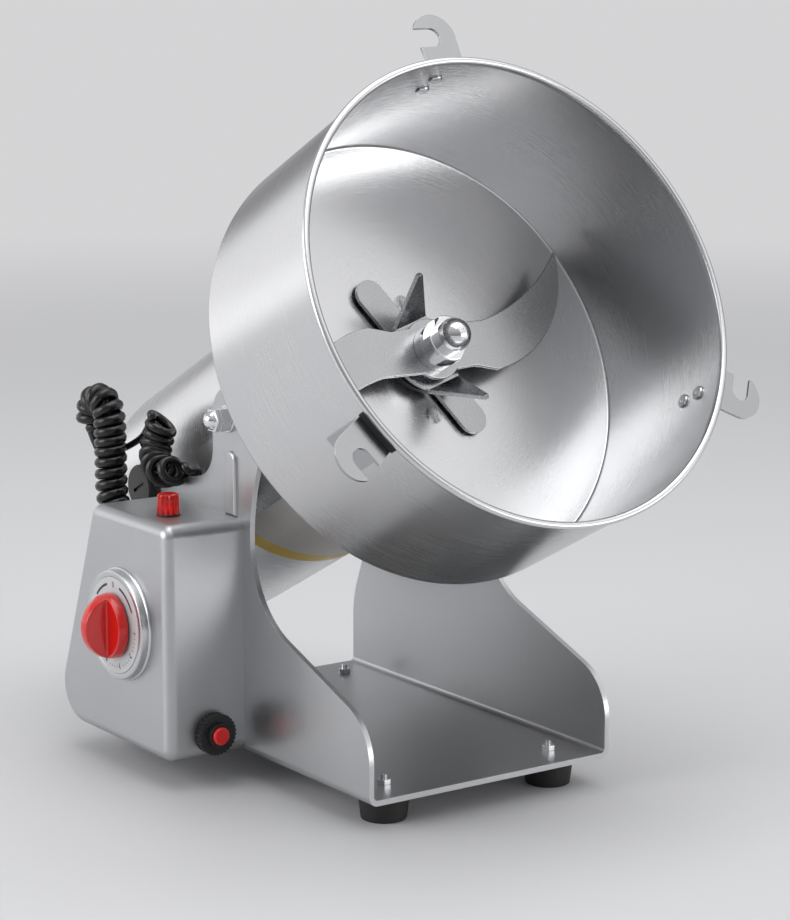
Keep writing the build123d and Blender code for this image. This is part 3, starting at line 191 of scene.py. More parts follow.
# Satin grain: fine streaks along the coordinates' own Z, with slow clouding over them.
satin_grain, entry, leave = node_group(
    "satin_grain",
    [
        ("Vector", "NodeSocketVector", None),
        ("Fineness", "NodeSocketFloat", 2500.0),
        ("Stretch", "NodeSocketFloat", 0.03),
        ("Roughness", "NodeSocketFloat", 0.3),
        ("Variation", "NodeSocketFloat", 0.08),
        ("Color", "NodeSocketColor", (0.6, 0.6, 0.6, 1)),
        ("Contrast", "NodeSocketFloat", 0.06),
    ],
    [("Color", "NodeSocketColor"), ("Roughness", "NodeSocketFloat"), ("Height", "NodeSocketFloat")],
)
split = satin_grain.nodes.new("ShaderNodeSeparateXYZ")
satin_grain.links.new(entry.outputs["Vector"], split.inputs[0])
join = satin_grain.nodes.new("ShaderNodeCombineXYZ")
fine = entry.outputs["Fineness"]
satin_grain.links.new(math_node(satin_grain, "MULTIPLY", split.outputs[0], fine), join.inputs[0])
satin_grain.links.new(math_node(satin_grain, "MULTIPLY", split.outputs[1], fine), join.inputs[1])
along = math_node(satin_grain, "MULTIPLY", split.outputs[2], entry.outputs["Stretch"])
satin_grain.links.new(math_node(satin_grain, "MULTIPLY", along, fine), join.inputs[2])
streaks = satin_grain.nodes.new("ShaderNodeTexNoise")
streaks.inputs["Scale"].default_value = 1.0
streaks.inputs["Detail"].default_value = 3.0
satin_grain.links.new(join.outputs[0], streaks.inputs["Vector"])
clouds = satin_grain.nodes.new("ShaderNodeTexNoise")
clouds.inputs["Scale"].default_value = 22.0
clouds.inputs["Detail"].default_value = 2.0
satin_grain.links.new(entry.outputs["Vector"], clouds.inputs["Vector"])
tone = math_node(satin_grain, "SUBTRACT", streaks.outputs["Fac"], 0.5)
cloud = math_node(satin_grain, "SUBTRACT", clouds.outputs["Fac"], 0.5)
both = math_node(satin_grain, "ADD", tone, cloud)
shift = math_node(satin_grain, "MULTIPLY", both, entry.outputs["Variation"])
satin_grain.links.new(
    math_node(satin_grain, "ADD", entry.outputs["Roughness"], shift), leave.inputs["Roughness"]
)
lift = math_node(satin_grain, "MULTIPLY", both, entry.outputs["Contrast"])
lift = math_node(satin_grain, "ADD", lift, 1.0)
shade = satin_grain.nodes.new("ShaderNodeVectorMath")
shade.operation = "SCALE"
satin_grain.links.new(entry.outputs["Color"], shade.inputs[0])
satin_grain.links.new(lift, shade.inputs["Scale"])
satin_grain.links.new(shade.outputs[0], leave.inputs["Color"])
satin_grain.links.new(streaks.outputs["Fac"], leave.inputs["Height"])


def metal(name, colour, roughness, grain_turn=None, depth=0.000004, turned=None, **values):
    """Bare metal with satin grain. The grain runs along Z of the turned coordinates, or
    round the axis of `turned`, a frame whose Z is that axis."""
    material, tree, shader = new_shader(name, colour, roughness, 1.0)
    place = tree.nodes.new("ShaderNodeTexCoord")
    mapping = tree.nodes.new("ShaderNodeMapping")
    tree.links.new(place.outputs["Object"], mapping.inputs["Vector"])
    vector = mapping.outputs[0]
    if turned is not None:
        back = turned.inverted()
        mapping.inputs["Location"].default_value = back.to_translation()
        mapping.inputs["Rotation"].default_value = back.to_euler()
        split = tree.nodes.new("ShaderNodeSeparateXYZ")
        tree.links.new(vector, split.inputs[0])
        flat = tree.nodes.new("ShaderNodeCombineXYZ")
        tree.links.new(split.outputs[0], flat.inputs[0])
        tree.links.new(split.outputs[1], flat.inputs[1])
        reach = tree.nodes.new("ShaderNodeVectorMath")
        reach.operation = "LENGTH"
        tree.links.new(flat.outputs[0], reach.inputs[0])
        angle = math_node(tree, "ARCTAN2", split.outputs[1], split.outputs[0])
        round_it = tree.nodes.new("ShaderNodeCombineXYZ")
        tree.links.new(reach.outputs["Value"], round_it.inputs[0])
        tree.links.new(split.outputs[2], round_it.inputs[1])
        tree.links.new(math_node(tree, "MULTIPLY", angle, 0.1), round_it.inputs[2])
        vector = round_it.outputs[0]
    elif grain_turn is not None:
        mapping.inputs["Rotation"].default_value = grain_turn
    grain = tree.nodes.new("ShaderNodeGroup")
    grain.node_tree = satin_grain
    tree.links.new(vector, grain.inputs["Vector"])
    grain.inputs["Color"].default_value = (*colour, 1)
    grain.inputs["Roughness"].default_value = roughness
    for label, value in values.items():
        grain.inputs[label.capitalize()].default_value = value
    tree.links.new(grain.outputs["Color"], shader.inputs["Base Color"])
    tree.links.new(grain.outputs["Roughness"], shader.inputs["Roughness"])
    bump = tree.nodes.new("ShaderNodeBump")
    bump.inputs["Distance"].default_value = depth
    tree.links.new(grain.outputs["Height"], bump.inputs["Height"])
    tree.links.new(bump.outputs["Normal"], shader.inputs["Normal"])
    return material


def placed(name, work, material, body, *nodes, smooth=True, sharp=38):
    """Makes a finished piece from a bmesh whose place is already in it."""
    mesh = bpy.data.meshes.new(name)
    work.to_mesh(mesh)
    work.free()
    mesh.materials.append(material)
    if smooth:
        mesh.shade_smooth()
        mesh.set_sharp_from_angle(angle=math.radians(sharp))
    piece = bpy.data.objects.new(name, mesh)
    scene.collection.objects.link(piece)
    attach(piece, body)
    if nodes:
        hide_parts(*nodes)
    return piece


def dressed(node, body, material, ease, segments=2):
    """A node's own shape with its seams closed, smooth faces and eased edges."""
    work = bmesh.new()
    work.from_mesh(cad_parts[node].data)
    bmesh.ops.remove_doubles(work, verts=work.verts, dist=0.000002)
    bmesh.ops.dissolve_limit(
        work, angle_limit=math.radians(0.6), verts=work.verts, edges=work.edges, delimit={"NORMAL"}
    )
    keen_angle = math.radians(30)
    keen = [e for e in work.edges if len(e.link_faces) == 2 and e.calc_face_angle(0) > keen_angle]
    bmesh.ops.bevel(
        work,
        geom=keen,
        offset=ease,
        segments=segments,
        affect="EDGES",
        profile=0.5,
        material=-1,
        clamp_overlap=True,
    )
    piece = placed(node + "_dressed", work, material, body, node)
    firm = piece.modifiers.new("firm_faces", "WEIGHTED_NORMAL")
    firm.keep_sharp = True
    firm.weight = 80


satin_sheet = metal("satin_sheet", (0.52, 0.525, 0.535), 0.34, variation=0.10, contrast=0.10)
dressed("stand_bracket", "stand", satin_sheet, ease=0.0004)


# ======================= Feet and their screws =======================
# Moulded black rubber feet, each held by a zinc-plated screw with its nut on the plate.


def uneven_skin(tree, shader, scale, depth):
    """Fine noise of a moulded skin, into the shader's normal; gives the noise."""
    place = tree.nodes.new("ShaderNodeTexCoord")
    noise = tree.nodes.new("ShaderNodeTexNoise")
    noise.inputs["Scale"].default_value = scale
    tree.links.new(place.outputs["Object"], noise.inputs["Vector"])
    bump = tree.nodes.new("ShaderNodeBump")
    bump.inputs["Distance"].default_value = depth
    tree.links.new(noise.outputs["Fac"], bump.inputs["Height"])
    tree.links.new(bump.outputs["Normal"], shader.inputs["Normal"])
    return noise


def uneven_gloss(tree, shader, noise, low, high):
    """Roughness between two values by a noise."""
    gloss = tree.nodes.new("ShaderNodeMapRange")
    gloss.inputs["To Min"].default_value = low
    gloss.inputs["To Max"].default_value = high
    tree.links.new(noise.outputs["Fac"], gloss.inputs["Value"])
    tree.links.new(gloss.outputs[0], shader.inputs["Roughness"])


rubber, tree, shader = new_shader("foot_rubber", (0.012, 0.012, 0.012), 0.62)
uneven_skin(tree, shader, 900.0, 0.00004)
dressed("rubber_feet", "stand", rubber, ease=0.0006)
bright_zinc = metal("bright_zinc", (0.70, 0.71, 0.73), 0.16, variation=0.12, contrast=0.08)
dressed("foot_screws", "stand", bright_zinc, ease=0.00015)
dressed("foot_nuts", "stand", bright_zinc, ease=0.00025)


# ======================= Control box =======================
# A drawn steel cover, 1.5 mm thick with wide rounded edges, screwed to the left arm from
# inside and sprayed with a fine silver lacquer.
box_silver = metal(
    "box_silver", (0.50, 0.505, 0.515), 0.40, variation=0.07, contrast=0.10, fineness=2600.0, stretch=0.5
)
dressed("control_box", "stand", box_silver, ease=0.0003)
dressed("box_screws", "stand", bright_zinc, ease=0.0002)


# ======================= Timer dial =======================
# A turned aluminium bezel with a grey number plate let into it, printed in black, and a
# glossy red knob, domed with a grip scooped out of it, on the D flat of the timer's shaft.
bezel_low, bezel_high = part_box("dial_bezel")
dial = Matrix.Translation(
    (bezel_high[0], (bezel_low[1] + bezel_high[1]) / 2, (bezel_low[2] + bezel_high[2]) / 2)
) @ Matrix(((0, 0, -1, 0), (-1, 0, 0, 0), (0, 1, 0, 0), (0, 0, 0, 1)))


def spun(profile, frame_of, steps=96, rounded=()):
    """A closed profile of (reach, along) points, its corners rounded, spun round its frame's Z."""
    work = bmesh.new()
    work.faces.new([work.verts.new((reach, 0, along)) for reach, along in profile])
    for point, radius in rounded:
        at = min(work.verts, key=lambda v: (v.co - Vector((point[0], 0, point[1]))).length)
        bmesh.ops.bevel(
            work,
            geom=[at],
            offset=radius,
            segments=6,
            affect="VERTICES",
            profile=0.5,
            material=-1,
        )
    bmesh.ops.delete(work, geom=list(work.faces), context="FACES_ONLY")
    bmesh.ops.spin(
        work,
        geom=list(work.verts) + list(work.edges),
        cent=(0, 0, 0),
        axis=(0, 0, 1),
        dvec=(0, 0, 0),
        angle=math.tau,
        steps=steps,
        use_merge=True,
    )
    bmesh.ops.remove_doubles(work, verts=work.verts, dist=0.0000005)
    bmesh.ops.recalc_face_normals(work, faces=work.faces)
    bmesh.ops.transform(work, matrix=frame_of, verts=work.verts)
    return work


bezel_metal = metal("bezel_aluminium", (0.60, 0.605, 0.615), 0.24, turned=dial, variation=0.1)
placed(
    "dial_bezel_turned",
    spun(
        [
            (0.0045, 0),
            (0.02575, 0),
            (0.02575, 0.0010),
            (0.0250, 0.0014),
            (0.0246, 0.0048),
            (0.02195, 0.0048),
            (0.02195, 0.0040),
            (0.0045, 0.0040),
        ],
        dial,
        rounded=[((0.0246, 0.0048), 0.0007), ((0.02575, 0.0010), 0.0004), ((0.02195, 0.0048), 0.0003)],
    ),
    bezel_metal,
    "stand",
    "dial_bezel",
)
plate_metal = metal("plate_grey", (0.56, 0.565, 0.575), 0.42, turned=dial, variation=0.05, contrast=0.04)
plate_metal.node_tree.nodes["Principled BSDF"].inputs["Metallic"].default_value = 0.45
placed(
    "dial_plate_turned",
    spun(
        [(0.0033, 0.0040), (0.02185, 0.0040), (0.02185, 0.0050), (0.0033, 0.0050)],
        dial,
        rounded=[((0.02185, 0.0050), 0.0002)],
    ),
    plate_metal,
    "stand",
    "dial_plate",
)

print_black, tree, shader = new_shader("print_black", (0.015, 0.015, 0.015), 0.5)
place = tree.nodes.new("ShaderNodeTexCoord")
wear = tree.nodes.new("ShaderNodeTexNoise")
wear.inputs["Scale"].default_value = 1500.0
tree.links.new(place.outputs["Object"], wear.inputs["Vector"])
uneven_gloss(tree, shader, wear, 0.42, 0.58)
print_work = bmesh.new()
print_level = 0.00504
tick_step = 6.2
for mark in range(31):
    if mark % 6 == 0:
        continue
    angle = math.radians(4 - mark * tick_step)
    tick = bmesh.ops.create_grid(print_work, x_segments=1, y_segments=1, size=0.5)["verts"]
    bmesh.ops.scale(print_work, vec=(0.0012, 0.00028, 1), verts=tick)
    bmesh.ops.translate(print_work, vec=(0.0188, 0, print_level), verts=tick)
    bmesh.ops.rotate(print_work, cent=(0, 0, 0), matrix=Matrix.Rotation(angle, 3, "Z"), verts=tick)
for first, last in ((17, 62), (-17, -52)):
    arc = bmesh.ops.create_grid(print_work, x_segments=1, y_segments=1, size=0.5)["verts"]
    inner = [v for v in arc if v.co.y < 0]
    bmesh.ops.delete(print_work, geom=[v for v in arc if v.co.y > 0], context="VERTS")
    bmesh.ops.scale(print_work, vec=(0.0011, 0, 1), verts=inner)
    bmesh.ops.translate(print_work, vec=(0.0186, 0, print_level), verts=inner)
    start = Matrix.Rotation(math.radians(90 - first), 3, "Z")
    bmesh.ops.rotate(print_work, cent=(0, 0, 0), matrix=start, verts=inner)
    edge = [e for v in inner for e in v.link_edges]
    bmesh.ops.spin(
        print_work,
        geom=list(set(edge)) + inner,
        cent=(0, 0, 0),
        axis=(0, 0, 1),
        dvec=(0, 0, 0),
        angle=math.radians(first - last),
        steps=20,
    )
for word, bearing in (("0", 0), ("1", 90), ("2", 127), ("3", 164), ("4", 201), ("5", 238)):
    letter_data = bpy.data.curves.new("dial_number", "FONT")
    letter_data.body = word
    letter_data.size = 0.0036
    letter_data.align_x = "CENTER"
    letter_data.align_y = "CENTER"
    letter = bpy.data.objects.new("dial_number", letter_data)
    number = bpy.data.meshes.new_from_object(letter)
    turn = Matrix.Rotation(math.radians(-bearing), 4, "Z")
    number.transform(turn @ Matrix.Translation((0, 0.0184, print_level)))
    print_work.from_mesh(number)
    bpy.data.objects.remove(letter)
bmesh.ops.transform(print_work, matrix=dial, verts=print_work.verts)
bmesh.ops.recalc_face_normals(print_work, faces=print_work.faces)
for face in print_work.faces:
    if face.normal.x > 0:
        face.normal_flip()
placed("dial_print", print_work, print_black, "stand", smooth=False)


def glossy_red(name, colour, roughness, coat=0.35):
    """Moulded red plastic, faintly uneven, under its own skin of gloss."""
    material, tree, shader = new_shader(name, colour, roughness)
    shader.inputs["Coat Weight"].default_value = coat
    shader.inputs["Coat Roughness"].default_value = 0.08
    shader.inputs["Specular IOR Level"].default_value = 0.55
    ripple = uneven_skin(tree, shader, 260.0, 0.00002)
    uneven_gloss(tree, shader, ripple, roughness - 0.04, roughness + 0.05)
    return material


knob_red = glossy_red("knob_red", (0.58, 0.006, 0.004), 0.16)
knob_work = bmesh.new()
knob_work.from_mesh(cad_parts["timer_knob"].data)
bmesh.ops.remove_doubles(knob_work, verts=knob_work.verts, dist=0.000002)
knob = placed("timer_knob_moulded", knob_work, knob_red, "timer", "timer_knob")
fuse = knob.modifiers.new("one_moulding", "REMESH")
fuse.mode = "VOXEL"
fuse.voxel_size = 0.00028
fuse.use_smooth_shade = True
soften = knob.modifiers.new("soft_roots", "SMOOTH")
soften.factor = 0.5
soften.iterations = 12


# ======================= Pilot lamp =======================
# A clear red acrylic cap with pressed flutes, snapped into a black nylon holder that a
# nut clamps to the box; a small neon bulb stands inside it.
lamp = Vector((stand_x - 0.0653 - 0.0237, stand_y + 0.0234, 0.1202 + 0.0008))
lens_work = bmesh.new()
lens_height = 0.0089
bmesh.ops.create_cone(
    lens_work, cap_ends=True, cap_tris=False, segments=48, radius1=0.00535, radius2=0.00478, depth=lens_height
)
bmesh.ops.translate(lens_work, vec=(0, 0, lens_height / 2), verts=lens_work.verts)
foot = [f for f in lens_work.faces if f.normal.z < -0.9]
bmesh.ops.delete(lens_work, geom=foot, context="FACES_ONLY")
flutes = [v for v in lens_work.verts if round(math.degrees(math.atan2(v.co.y, v.co.x)) / 7.5) % 4 == 0]
bmesh.ops.scale(lens_work, vec=(0.90, 0.90, 1), verts=flutes)
rim = [e for e in lens_work.edges if all(v.co.z > 0.0088 for v in e.verts)]
bmesh.ops.bevel(lens_work, geom=rim, offset=0.0006, segments=3, affect="EDGES", profile=0.5, material=-1)
bmesh.ops.translate(lens_work, vec=lamp, verts=lens_work.verts)
lens_red, tree, shader = new_shader("lens_red", (0.62, 0.012, 0.01), 0.10)
shader.inputs["Transmission Weight"].default_value = 0.55
shader.inputs["IOR"].default_value = 1.49
# The cap's faint red emission is a painted glow, as if the bulb behind it lit the acrylic.
shader.inputs["Emission Color"].default_value = (1.0, 0.02, 0.01, 1)
shader.inputs["Emission Strength"].default_value = 0.06
uneven_skin(tree, shader, 500.0, 0.00003)
lens = placed("lamp_lens_fluted", lens_work, lens_red, "stand", "lamp_lens", sharp=25)
wall = lens.modifiers.new("wall", "SOLIDIFY")
wall.thickness = 0.0012
wall.offset = -1
dressed("lamp_holder", "stand", rubber, ease=0.0002)


# ======================= Reset breaker =======================
# A push-to-reset breaker: red nylon button in a black threaded neck, held on the box by
# a knurled black nut.
black_nylon, tree, shader = new_shader("black_nylon", (0.014, 0.014, 0.015), 0.38)
uneven_skin(tree, shader, 1400.0, 0.000015)
dressed("breaker_nut", "stand", black_nylon, ease=0.00025)
dressed("breaker_body", "stand", black_nylon, ease=0.0002)
button_red = glossy_red("button_red", (0.74, 0.014, 0.01), 0.3, 0.2)
dressed("reset_button", "button", button_red, ease=0.0002)


# ======================= Glands =======================
# Black nylon strain reliefs in the leaning back wall: one for the curly cord, one empty
# inlet for the mains lead.
dressed("cord_gland", "stand", black_nylon, ease=0.0006)
dressed("mains_gland", "stand", black_nylon, ease=0.0006)


# ======================= Pivot =======================
# Studs welded to the motor housing pass through bronze bushes in the arms; each carries
# a washer, a nut and a domed cap nut, all nickel plated.
nickel = metal("nickel_plate", (0.76, 0.76, 0.77), 0.10, variation=0.10, contrast=0.06)
for node, body in (
    ("pivot_washers", "stand"),
    ("pivot_nuts", "drum"),
    ("pivot_cap_nuts", "drum"),
    ("pivot_studs", "drum"),
):
    dressed(node, body, nickel, ease=0.0003)
bronze = metal("bush_bronze", (0.48, 0.30, 0.13), 0.34)
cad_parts["pivot_bushes"].data.materials.clear()
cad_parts["pivot_bushes"].data.materials.append(bronze)


# ======================= Drum =======================
# Spun from 1.2 mm stainless: polished wall, rounded corner, rolled bead at the mouth and
# a thicker floor, with the faint rings that the lathe leaves.
tilt = math.radians(62.4)
pivot = Vector((stand_x, stand_y + 0.0107, 0.1631))
drum_dir = Vector((0, -math.sin(tilt), math.cos(tilt)))
drum_side = Vector((0, math.cos(tilt), math.sin(tilt)))
drum_turn = Matrix((Vector((1, 0, 0)), drum_side, drum_dir)).transposed().to_4x4()
drum_frame = Matrix.Translation(pivot) @ drum_turn

drum_steel = metal(
    "drum_steel", (0.66, 0.662, 0.67), 0.26, depth=0.000001, turned=drum_frame,
    fineness=1500.0, stretch=0.012, variation=0.07, contrast=0.035,
)
placed(
    "drum_spun",
    spun(
        [
            (0.012, 0.0581),
            (0.1032, 0.0581),
            (0.1032, 0.1417),
            (0.1050, 0.1417),
            (0.1050, 0.1449),
            (0.1018, 0.1449),
            (0.1018, 0.1417),
            (0.1020, 0.1410),
            (0.1020, 0.0596),
            (0.012, 0.0596),
        ],
        drum_frame,
        steps=240,
        rounded=[
            ((0.1032, 0.0581), 0.0025),
            ((0.1020, 0.0596), 0.0013),
            ((0.1050, 0.1417), 0.0015),
            ((0.1050, 0.1449), 0.0015),
            ((0.1018, 0.1449), 0.0015),
            ((0.1032, 0.1417), 0.0003),
        ],
    ),
    drum_steel,
    "drum",
    "drum_shell",
)
dressed("floor_screws", "drum", bright_zinc, ease=0.0003)
dressed("shaft_seal", "drum", black_nylon, ease=0.0003)


# ======================= Lid hooks =======================
# Three stamped and folded plates with an open slot each, riveted through the wall, with
# a black rubber pad between each plate and the rolled rim; the pads' black is partly painted shade in the gap
# under each plate.
hook_steel = metal("hook_steel", (0.44, 0.445, 0.455), 0.22, grain_turn=(0.7, 0.4, 0), variation=0.12)
dressed("lid_hooks", "drum", hook_steel, ease=0.0004, segments=3)
rivet_steel = metal("rivet_steel", (0.70, 0.70, 0.71), 0.18)
dressed("hook_rivets", "drum", rivet_steel, ease=0.00035, segments=3)
# The black pads fill the dark band by the rim: partly a rubber part, partly painted shade.
dressed("hook_pads", "drum", rubber, ease=0.0004)


# ======================= Motor housing =======================
# A seam-welded stainless tube with a pressed and vented cap screwed on behind, brush caps
# on both sides, and a plain rating plate without print on its underside.
housing_steel = metal(
    "housing_steel", (0.68, 0.682, 0.69), 0.28, depth=0.000001, turned=drum_frame,
    fineness=1500.0, stretch=0.012, variation=0.07, contrast=0.035,
)
placed(
    "housing_tube",
    spun(
        [(0.0566, -0.129), (0.0581, -0.129), (0.0581, 0.0581), (0.0566, 0.0581)],
        drum_frame,
        steps=200,
        rounded=[((0.0581, -0.129), 0.0004)],
    ),
    housing_steel,
    "drum",
    "motor_housing",
)
dressed("rear_cap", "drum", housing_steel, ease=0.0003)
dressed("cap_screws", "drum", bright_zinc, ease=0.0005, segments=3)
dressed("brush_caps", "drum", black_nylon, ease=0.0004)
dressed("cord_elbow", "drum", black_nylon, ease=0.0006)

plate_work = bmesh.new()
bmesh.ops.create_grid(plate_work, x_segments=48, y_segments=2, size=0.5)
plate_reach = 0.05826
for vert in plate_work.verts:
    turn = math.radians(-98 + 84 * vert.co.x)
    along = -0.024 + 0.057 * vert.co.y
    vert.co = Vector((plate_reach * math.cos(turn), plate_reach * math.sin(turn), along))
bmesh.ops.transform(plate_work, matrix=drum_frame, verts=plate_work.verts)
rating_grey, tree, shader = new_shader("rating_grey", (0.42, 0.41, 0.39), 0.35)
shader.inputs["Coat Weight"].default_value = 0.3
place = tree.nodes.new("ShaderNodeTexCoord")
back = drum_frame.inverted()
mapping = tree.nodes.new("ShaderNodeMapping")
mapping.inputs["Location"].default_value = back.to_translation()
mapping.inputs["Rotation"].default_value = back.to_euler()
tree.links.new(place.outputs["Object"], mapping.inputs["Vector"])
split = tree.nodes.new("ShaderNodeSeparateXYZ")
tree.links.new(mapping.outputs[0], split.inputs[0])
band_edge = -0.0435
band = math_node(tree, "LESS_THAN", split.outputs["Z"], band_edge)
speck = tree.nodes.new("ShaderNodeTexNoise")
speck.inputs["Scale"].default_value = 300.0
tree.links.new(mapping.outputs[0], speck.inputs["Vector"])
paper = tree.nodes.new("ShaderNodeMix")
paper.data_type = "RGBA"
paper.inputs["A"].default_value = (0.60, 0.58, 0.54, 1)
paper.inputs["B"].default_value = (0.68, 0.66, 0.62, 1)
tree.links.new(speck.outputs["Fac"], paper.inputs["Factor"])
banded = tree.nodes.new("ShaderNodeMix")
banded.data_type = "RGBA"
banded.inputs["B"].default_value = (0.78, 0.52, 0.05, 1)
tree.links.new(paper.outputs["Result"], banded.inputs["A"])
tree.links.new(band, banded.inputs["Factor"])
tree.links.new(banded.outputs["Result"], shader.inputs["Base Color"])
placed("rating_plate", plate_work, rating_grey, "drum")


# ======================= Rotor and blades =======================
# Hardened stainless blades, ground flat, stacked on the motor's shaft with turned spacers
# and held by a domed nut: a curved long blade, a bent one and a short one under it.
blade_steel = metal(
    "blade_steel", (0.44, 0.445, 0.455), 0.26, grain_turn=(tilt, 0, 0.5), variation=0.16, contrast=0.12
)
for node in ("sickle_blade", "bent_blade", "lower_blade"):
    dressed(node, "rotor", blade_steel, ease=0.0005)
hub_steel = metal("hub_steel", (0.64, 0.64, 0.65), 0.16, turned=drum_frame, variation=0.12)
dressed("hub_spacers", "rotor", hub_steel, ease=0.0003)
dressed("hub_nut", "rotor", nickel, ease=0.0003)
dressed("rotor_shaft", "rotor", hub_steel, ease=0.0003)


# ======================= Curly cord =======================
# A black curly cord from the box's gland to the motor: a tall coil behind the box, one
# stretched strand, a second coil by the arm, and a thin end that goes in at the motor.
cord_rubber, tree, shader = new_shader("cord_rubber", (0.004, 0.004, 0.0045), 0.24)
cord_skin = uneven_skin(tree, shader, 700.0, 0.00003)
uneven_gloss(tree, shader, cord_skin, 0.20, 0.30)

gland_out = Vector((0, 1, 0.365)).normalized()
gland_height = 0.099
gland_back = 0.0658 + (0.1202 - gland_height) * 0.365
gland_face = Vector((stand_x - 0.078, stand_y + gland_back, gland_height)) + gland_out * 0.003


def stand_point(x, back, height):
    """A point in millimetres from the stand's middle."""
    return Vector((x / 1000 + stand_x, back / 1000 + stand_y, height / 1000))


def smooth_route(name, points):
    """The points of a smooth line along a route."""
    route_data = bpy.data.curves.new(name, "CURVE")
    route_data.dimensions = "3D"
    route_data.resolution_u = 40
    spline = route_data.splines.new("NURBS")
    spline.points.add(len(points) - 1)
    for point, place in zip(spline.points, points):
        point.co = (*place, 1)
    spline.order_u = 3
    spline.use_endpoint_u = True
    route = bpy.data.objects.new(name, route_data)
    line = bpy.data.meshes.new_from_object(route)
    spots = [v.co.copy() for v in line.vertices]
    bpy.data.objects.remove(route)
    bpy.data.meshes.remove(line)
    return spots


def along_line(spots, distance):
    """The place and heading at a distance along a line."""
    for here, after in zip(spots, spots[1:]):
        run = (after - here).length
        if distance <= run or after is spots[-1]:
            return here + (after - here) * (distance / run), (after - here).normalized()
        distance -= run


def line_length(spots):
    """Length of a line through its spots."""
    return sum((after - here).length for here, after in zip(spots, spots[1:]))


def coiled(spots, swell, pitch, lean=0.0, per_turn=14, phase=0.0):
    """Points of a coil round a line; swell gives the coil's radius and pitch its rise per
    turn at a share of the line's length, and lean tips the turns."""
    length = line_length(spots)
    points = []
    done = 0.0
    spread = Vector((1, 0, 0))
    while done < length:
        place, heading = along_line(spots, done)
        spread = (spread - heading * spread.dot(heading)).normalized()
        other = heading.cross(spread)
        share = done / length
        radius = swell(share)
        offset = spread * math.cos(phase) + other * math.sin(phase)
        points.append(place + offset * radius - heading * lean * radius * math.cos(phase))
        phase += math.tau / per_turn
        done += pitch(share) / per_turn
    return points


def ramp(share, low, high):
    """0 before low, 1 after high, smooth between."""
    t = min(1.0, max(0.0, (share - low) / (high - low)))
    return t * t * (3 - 2 * t)


rear_line = smooth_route("rear_route", [
    gland_face,
    gland_face + gland_out * 0.012,
    stand_point(-78.3, 93.8, 117),
    stand_point(-78.0, 94.2, 134),
    stand_point(-78.0, 94.6, 155.3),
    stand_point(-78.0, 99.8, 160.5),
    stand_point(-78.0, 107.2, 160.5),
    stand_point(-77.8, 112.4, 155.3),
    stand_point(-77.0, 113.0, 144),
])
front_line = smooth_route("front_route", [
    stand_point(-68.8, 62.0, 155.5),
    stand_point(-69.0, 65.0, 149.0),
    stand_point(-70.0, 66.5, 142.0),
    stand_point(-71.5, 64.0, 136.0),
    stand_point(-72.0, 58.0, 133.0),
    stand_point(-70.5, 51.0, 133.0),
    stand_point(-66.0, 46.5, 134.5),
    stand_point(-60.45, 45.0, 133.5),
])
rear_coil = coiled(
    rear_line,
    lambda s: 0.0053 * ramp(s, 0.02, 0.14) * (1 - ramp(s, 0.93, 1.0)),
    lambda s: 0.0054 - 0.0008 * ramp(s, 0.40, 0.50) * (1 - ramp(s, 0.80, 0.90)),
)
front_coil = coiled(
    front_line,
    lambda s: 0.0058 * (1 - ramp(s, 0.70, 0.98)),
    lambda s: 0.0046 + 0.0030 * ramp(s, 0.50, 0.80),
    lean=-0.45,
    phase=math.pi,
)
strand = [
    stand_point(-76.0, 109.0, 133.5),
    stand_point(-71.5, 100.0, 135.5),
    stand_point(-69.0, 88.0, 141.0),
    stand_point(-68.4, 78.5, 146.5),
]
cord_points = (
    [gland_face, gland_face + gland_out * 0.002]
    + rear_coil[1:]
    + strand
    + front_coil
    + [
        stand_point(-60.45, 46.0, 126.0),
        stand_point(-60.45, 46.2, 114.0),
        stand_point(-60.45, 44.0, 103.5),
        stand_point(-60.45, 38.0, 98.0),
        stand_point(-60.45, 31.5, 103.0),
        stand_point(-60.45, 29.4, 114.0),
        stand_point(-60.45, 30.1, 126.0),
    ]
)
cord_data = bpy.data.curves.new("curly_cord", "CURVE")
cord_data.dimensions = "3D"
cord_data.resolution_u = 3
cord_data.bevel_depth = 0.0021
cord_data.bevel_resolution = 3
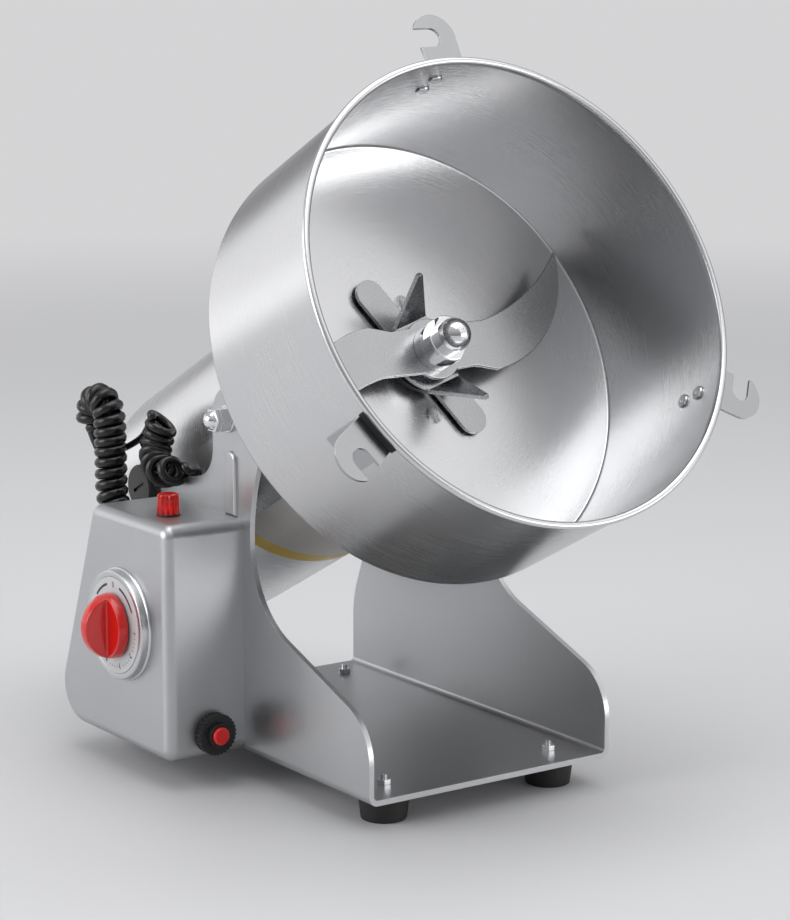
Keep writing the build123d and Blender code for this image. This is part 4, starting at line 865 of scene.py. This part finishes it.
cord_data.use_fill_caps = True
spline = cord_data.splines.new("NURBS")
spline.points.add(len(cord_points) - 1)
for point, place in zip(spline.points, cord_points):
    point.co = (*place, 1)
    point.radius = 0.76 if place in strand else 1.25 if place in rear_coil else 1.0
spline.order_u = 3
spline.use_endpoint_u = True
cord_data.materials.append(cord_rubber)
curly_cord = bpy.data.objects.new("curly_cord", cord_data)
scene.collection.objects.link(curly_cord)
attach(curly_cord, "stand")
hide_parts("cord_coils", "cord_lead")


# ======================= Motor's inside =======================
# Laminated steel, copper windings, bearings and brushes: they can be seen only through
# the vents, and keep their built shapes.
inner_steel = metal("inner_steel", (0.30, 0.30, 0.31), 0.40, turned=drum_frame, stretch=8.0, variation=0.1)
copper = metal("winding_copper", (0.55, 0.19, 0.06), 0.32, turned=drum_frame, variation=0.15, contrast=0.3)
cast_alloy = metal(
    "cast_alloy", (0.42, 0.42, 0.43), 0.48, depth=0.00002, stretch=1.0, variation=0.15, contrast=0.15
)
brass = metal("brass", (0.58, 0.42, 0.14), 0.28)
carbon, tree, shader = new_shader("carbon", (0.02, 0.02, 0.022), 0.55)
uneven_skin(tree, shader, 2000.0, 0.00002)
bulb_glow, tree, shader = new_shader("bulb_glow", (0.9, 0.35, 0.12), 0.2)
shader.inputs["Emission Color"].default_value = (1.0, 0.30, 0.08, 1)
shader.inputs["Emission Strength"].default_value = 1.2
for material, nodes in (
    (inner_steel, ("stator_core", "armature_core")),
    (inner_steel, ("bearing_balls", "bearing_outer_rings", "bearing_inner_rings")),
    (copper, ("stator_windings", "armature_windings", "commutator")),
    (cast_alloy, ("front_shield", "rear_shield")),
    (brass, ("brush_holders", "brush_springs", "reset_spring", "timer_shaft", "lamp_nut")),
    (black_nylon, ("cooling_fan", "timer_body")),
    (carbon, ("carbon_brushes",)),
    (bright_zinc, ("timer_screws",)),
    (bulb_glow, ("neon_bulb",)),
):
    for node in nodes:
        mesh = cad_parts[node].data
        mesh.materials.clear()
        mesh.materials.append(material)
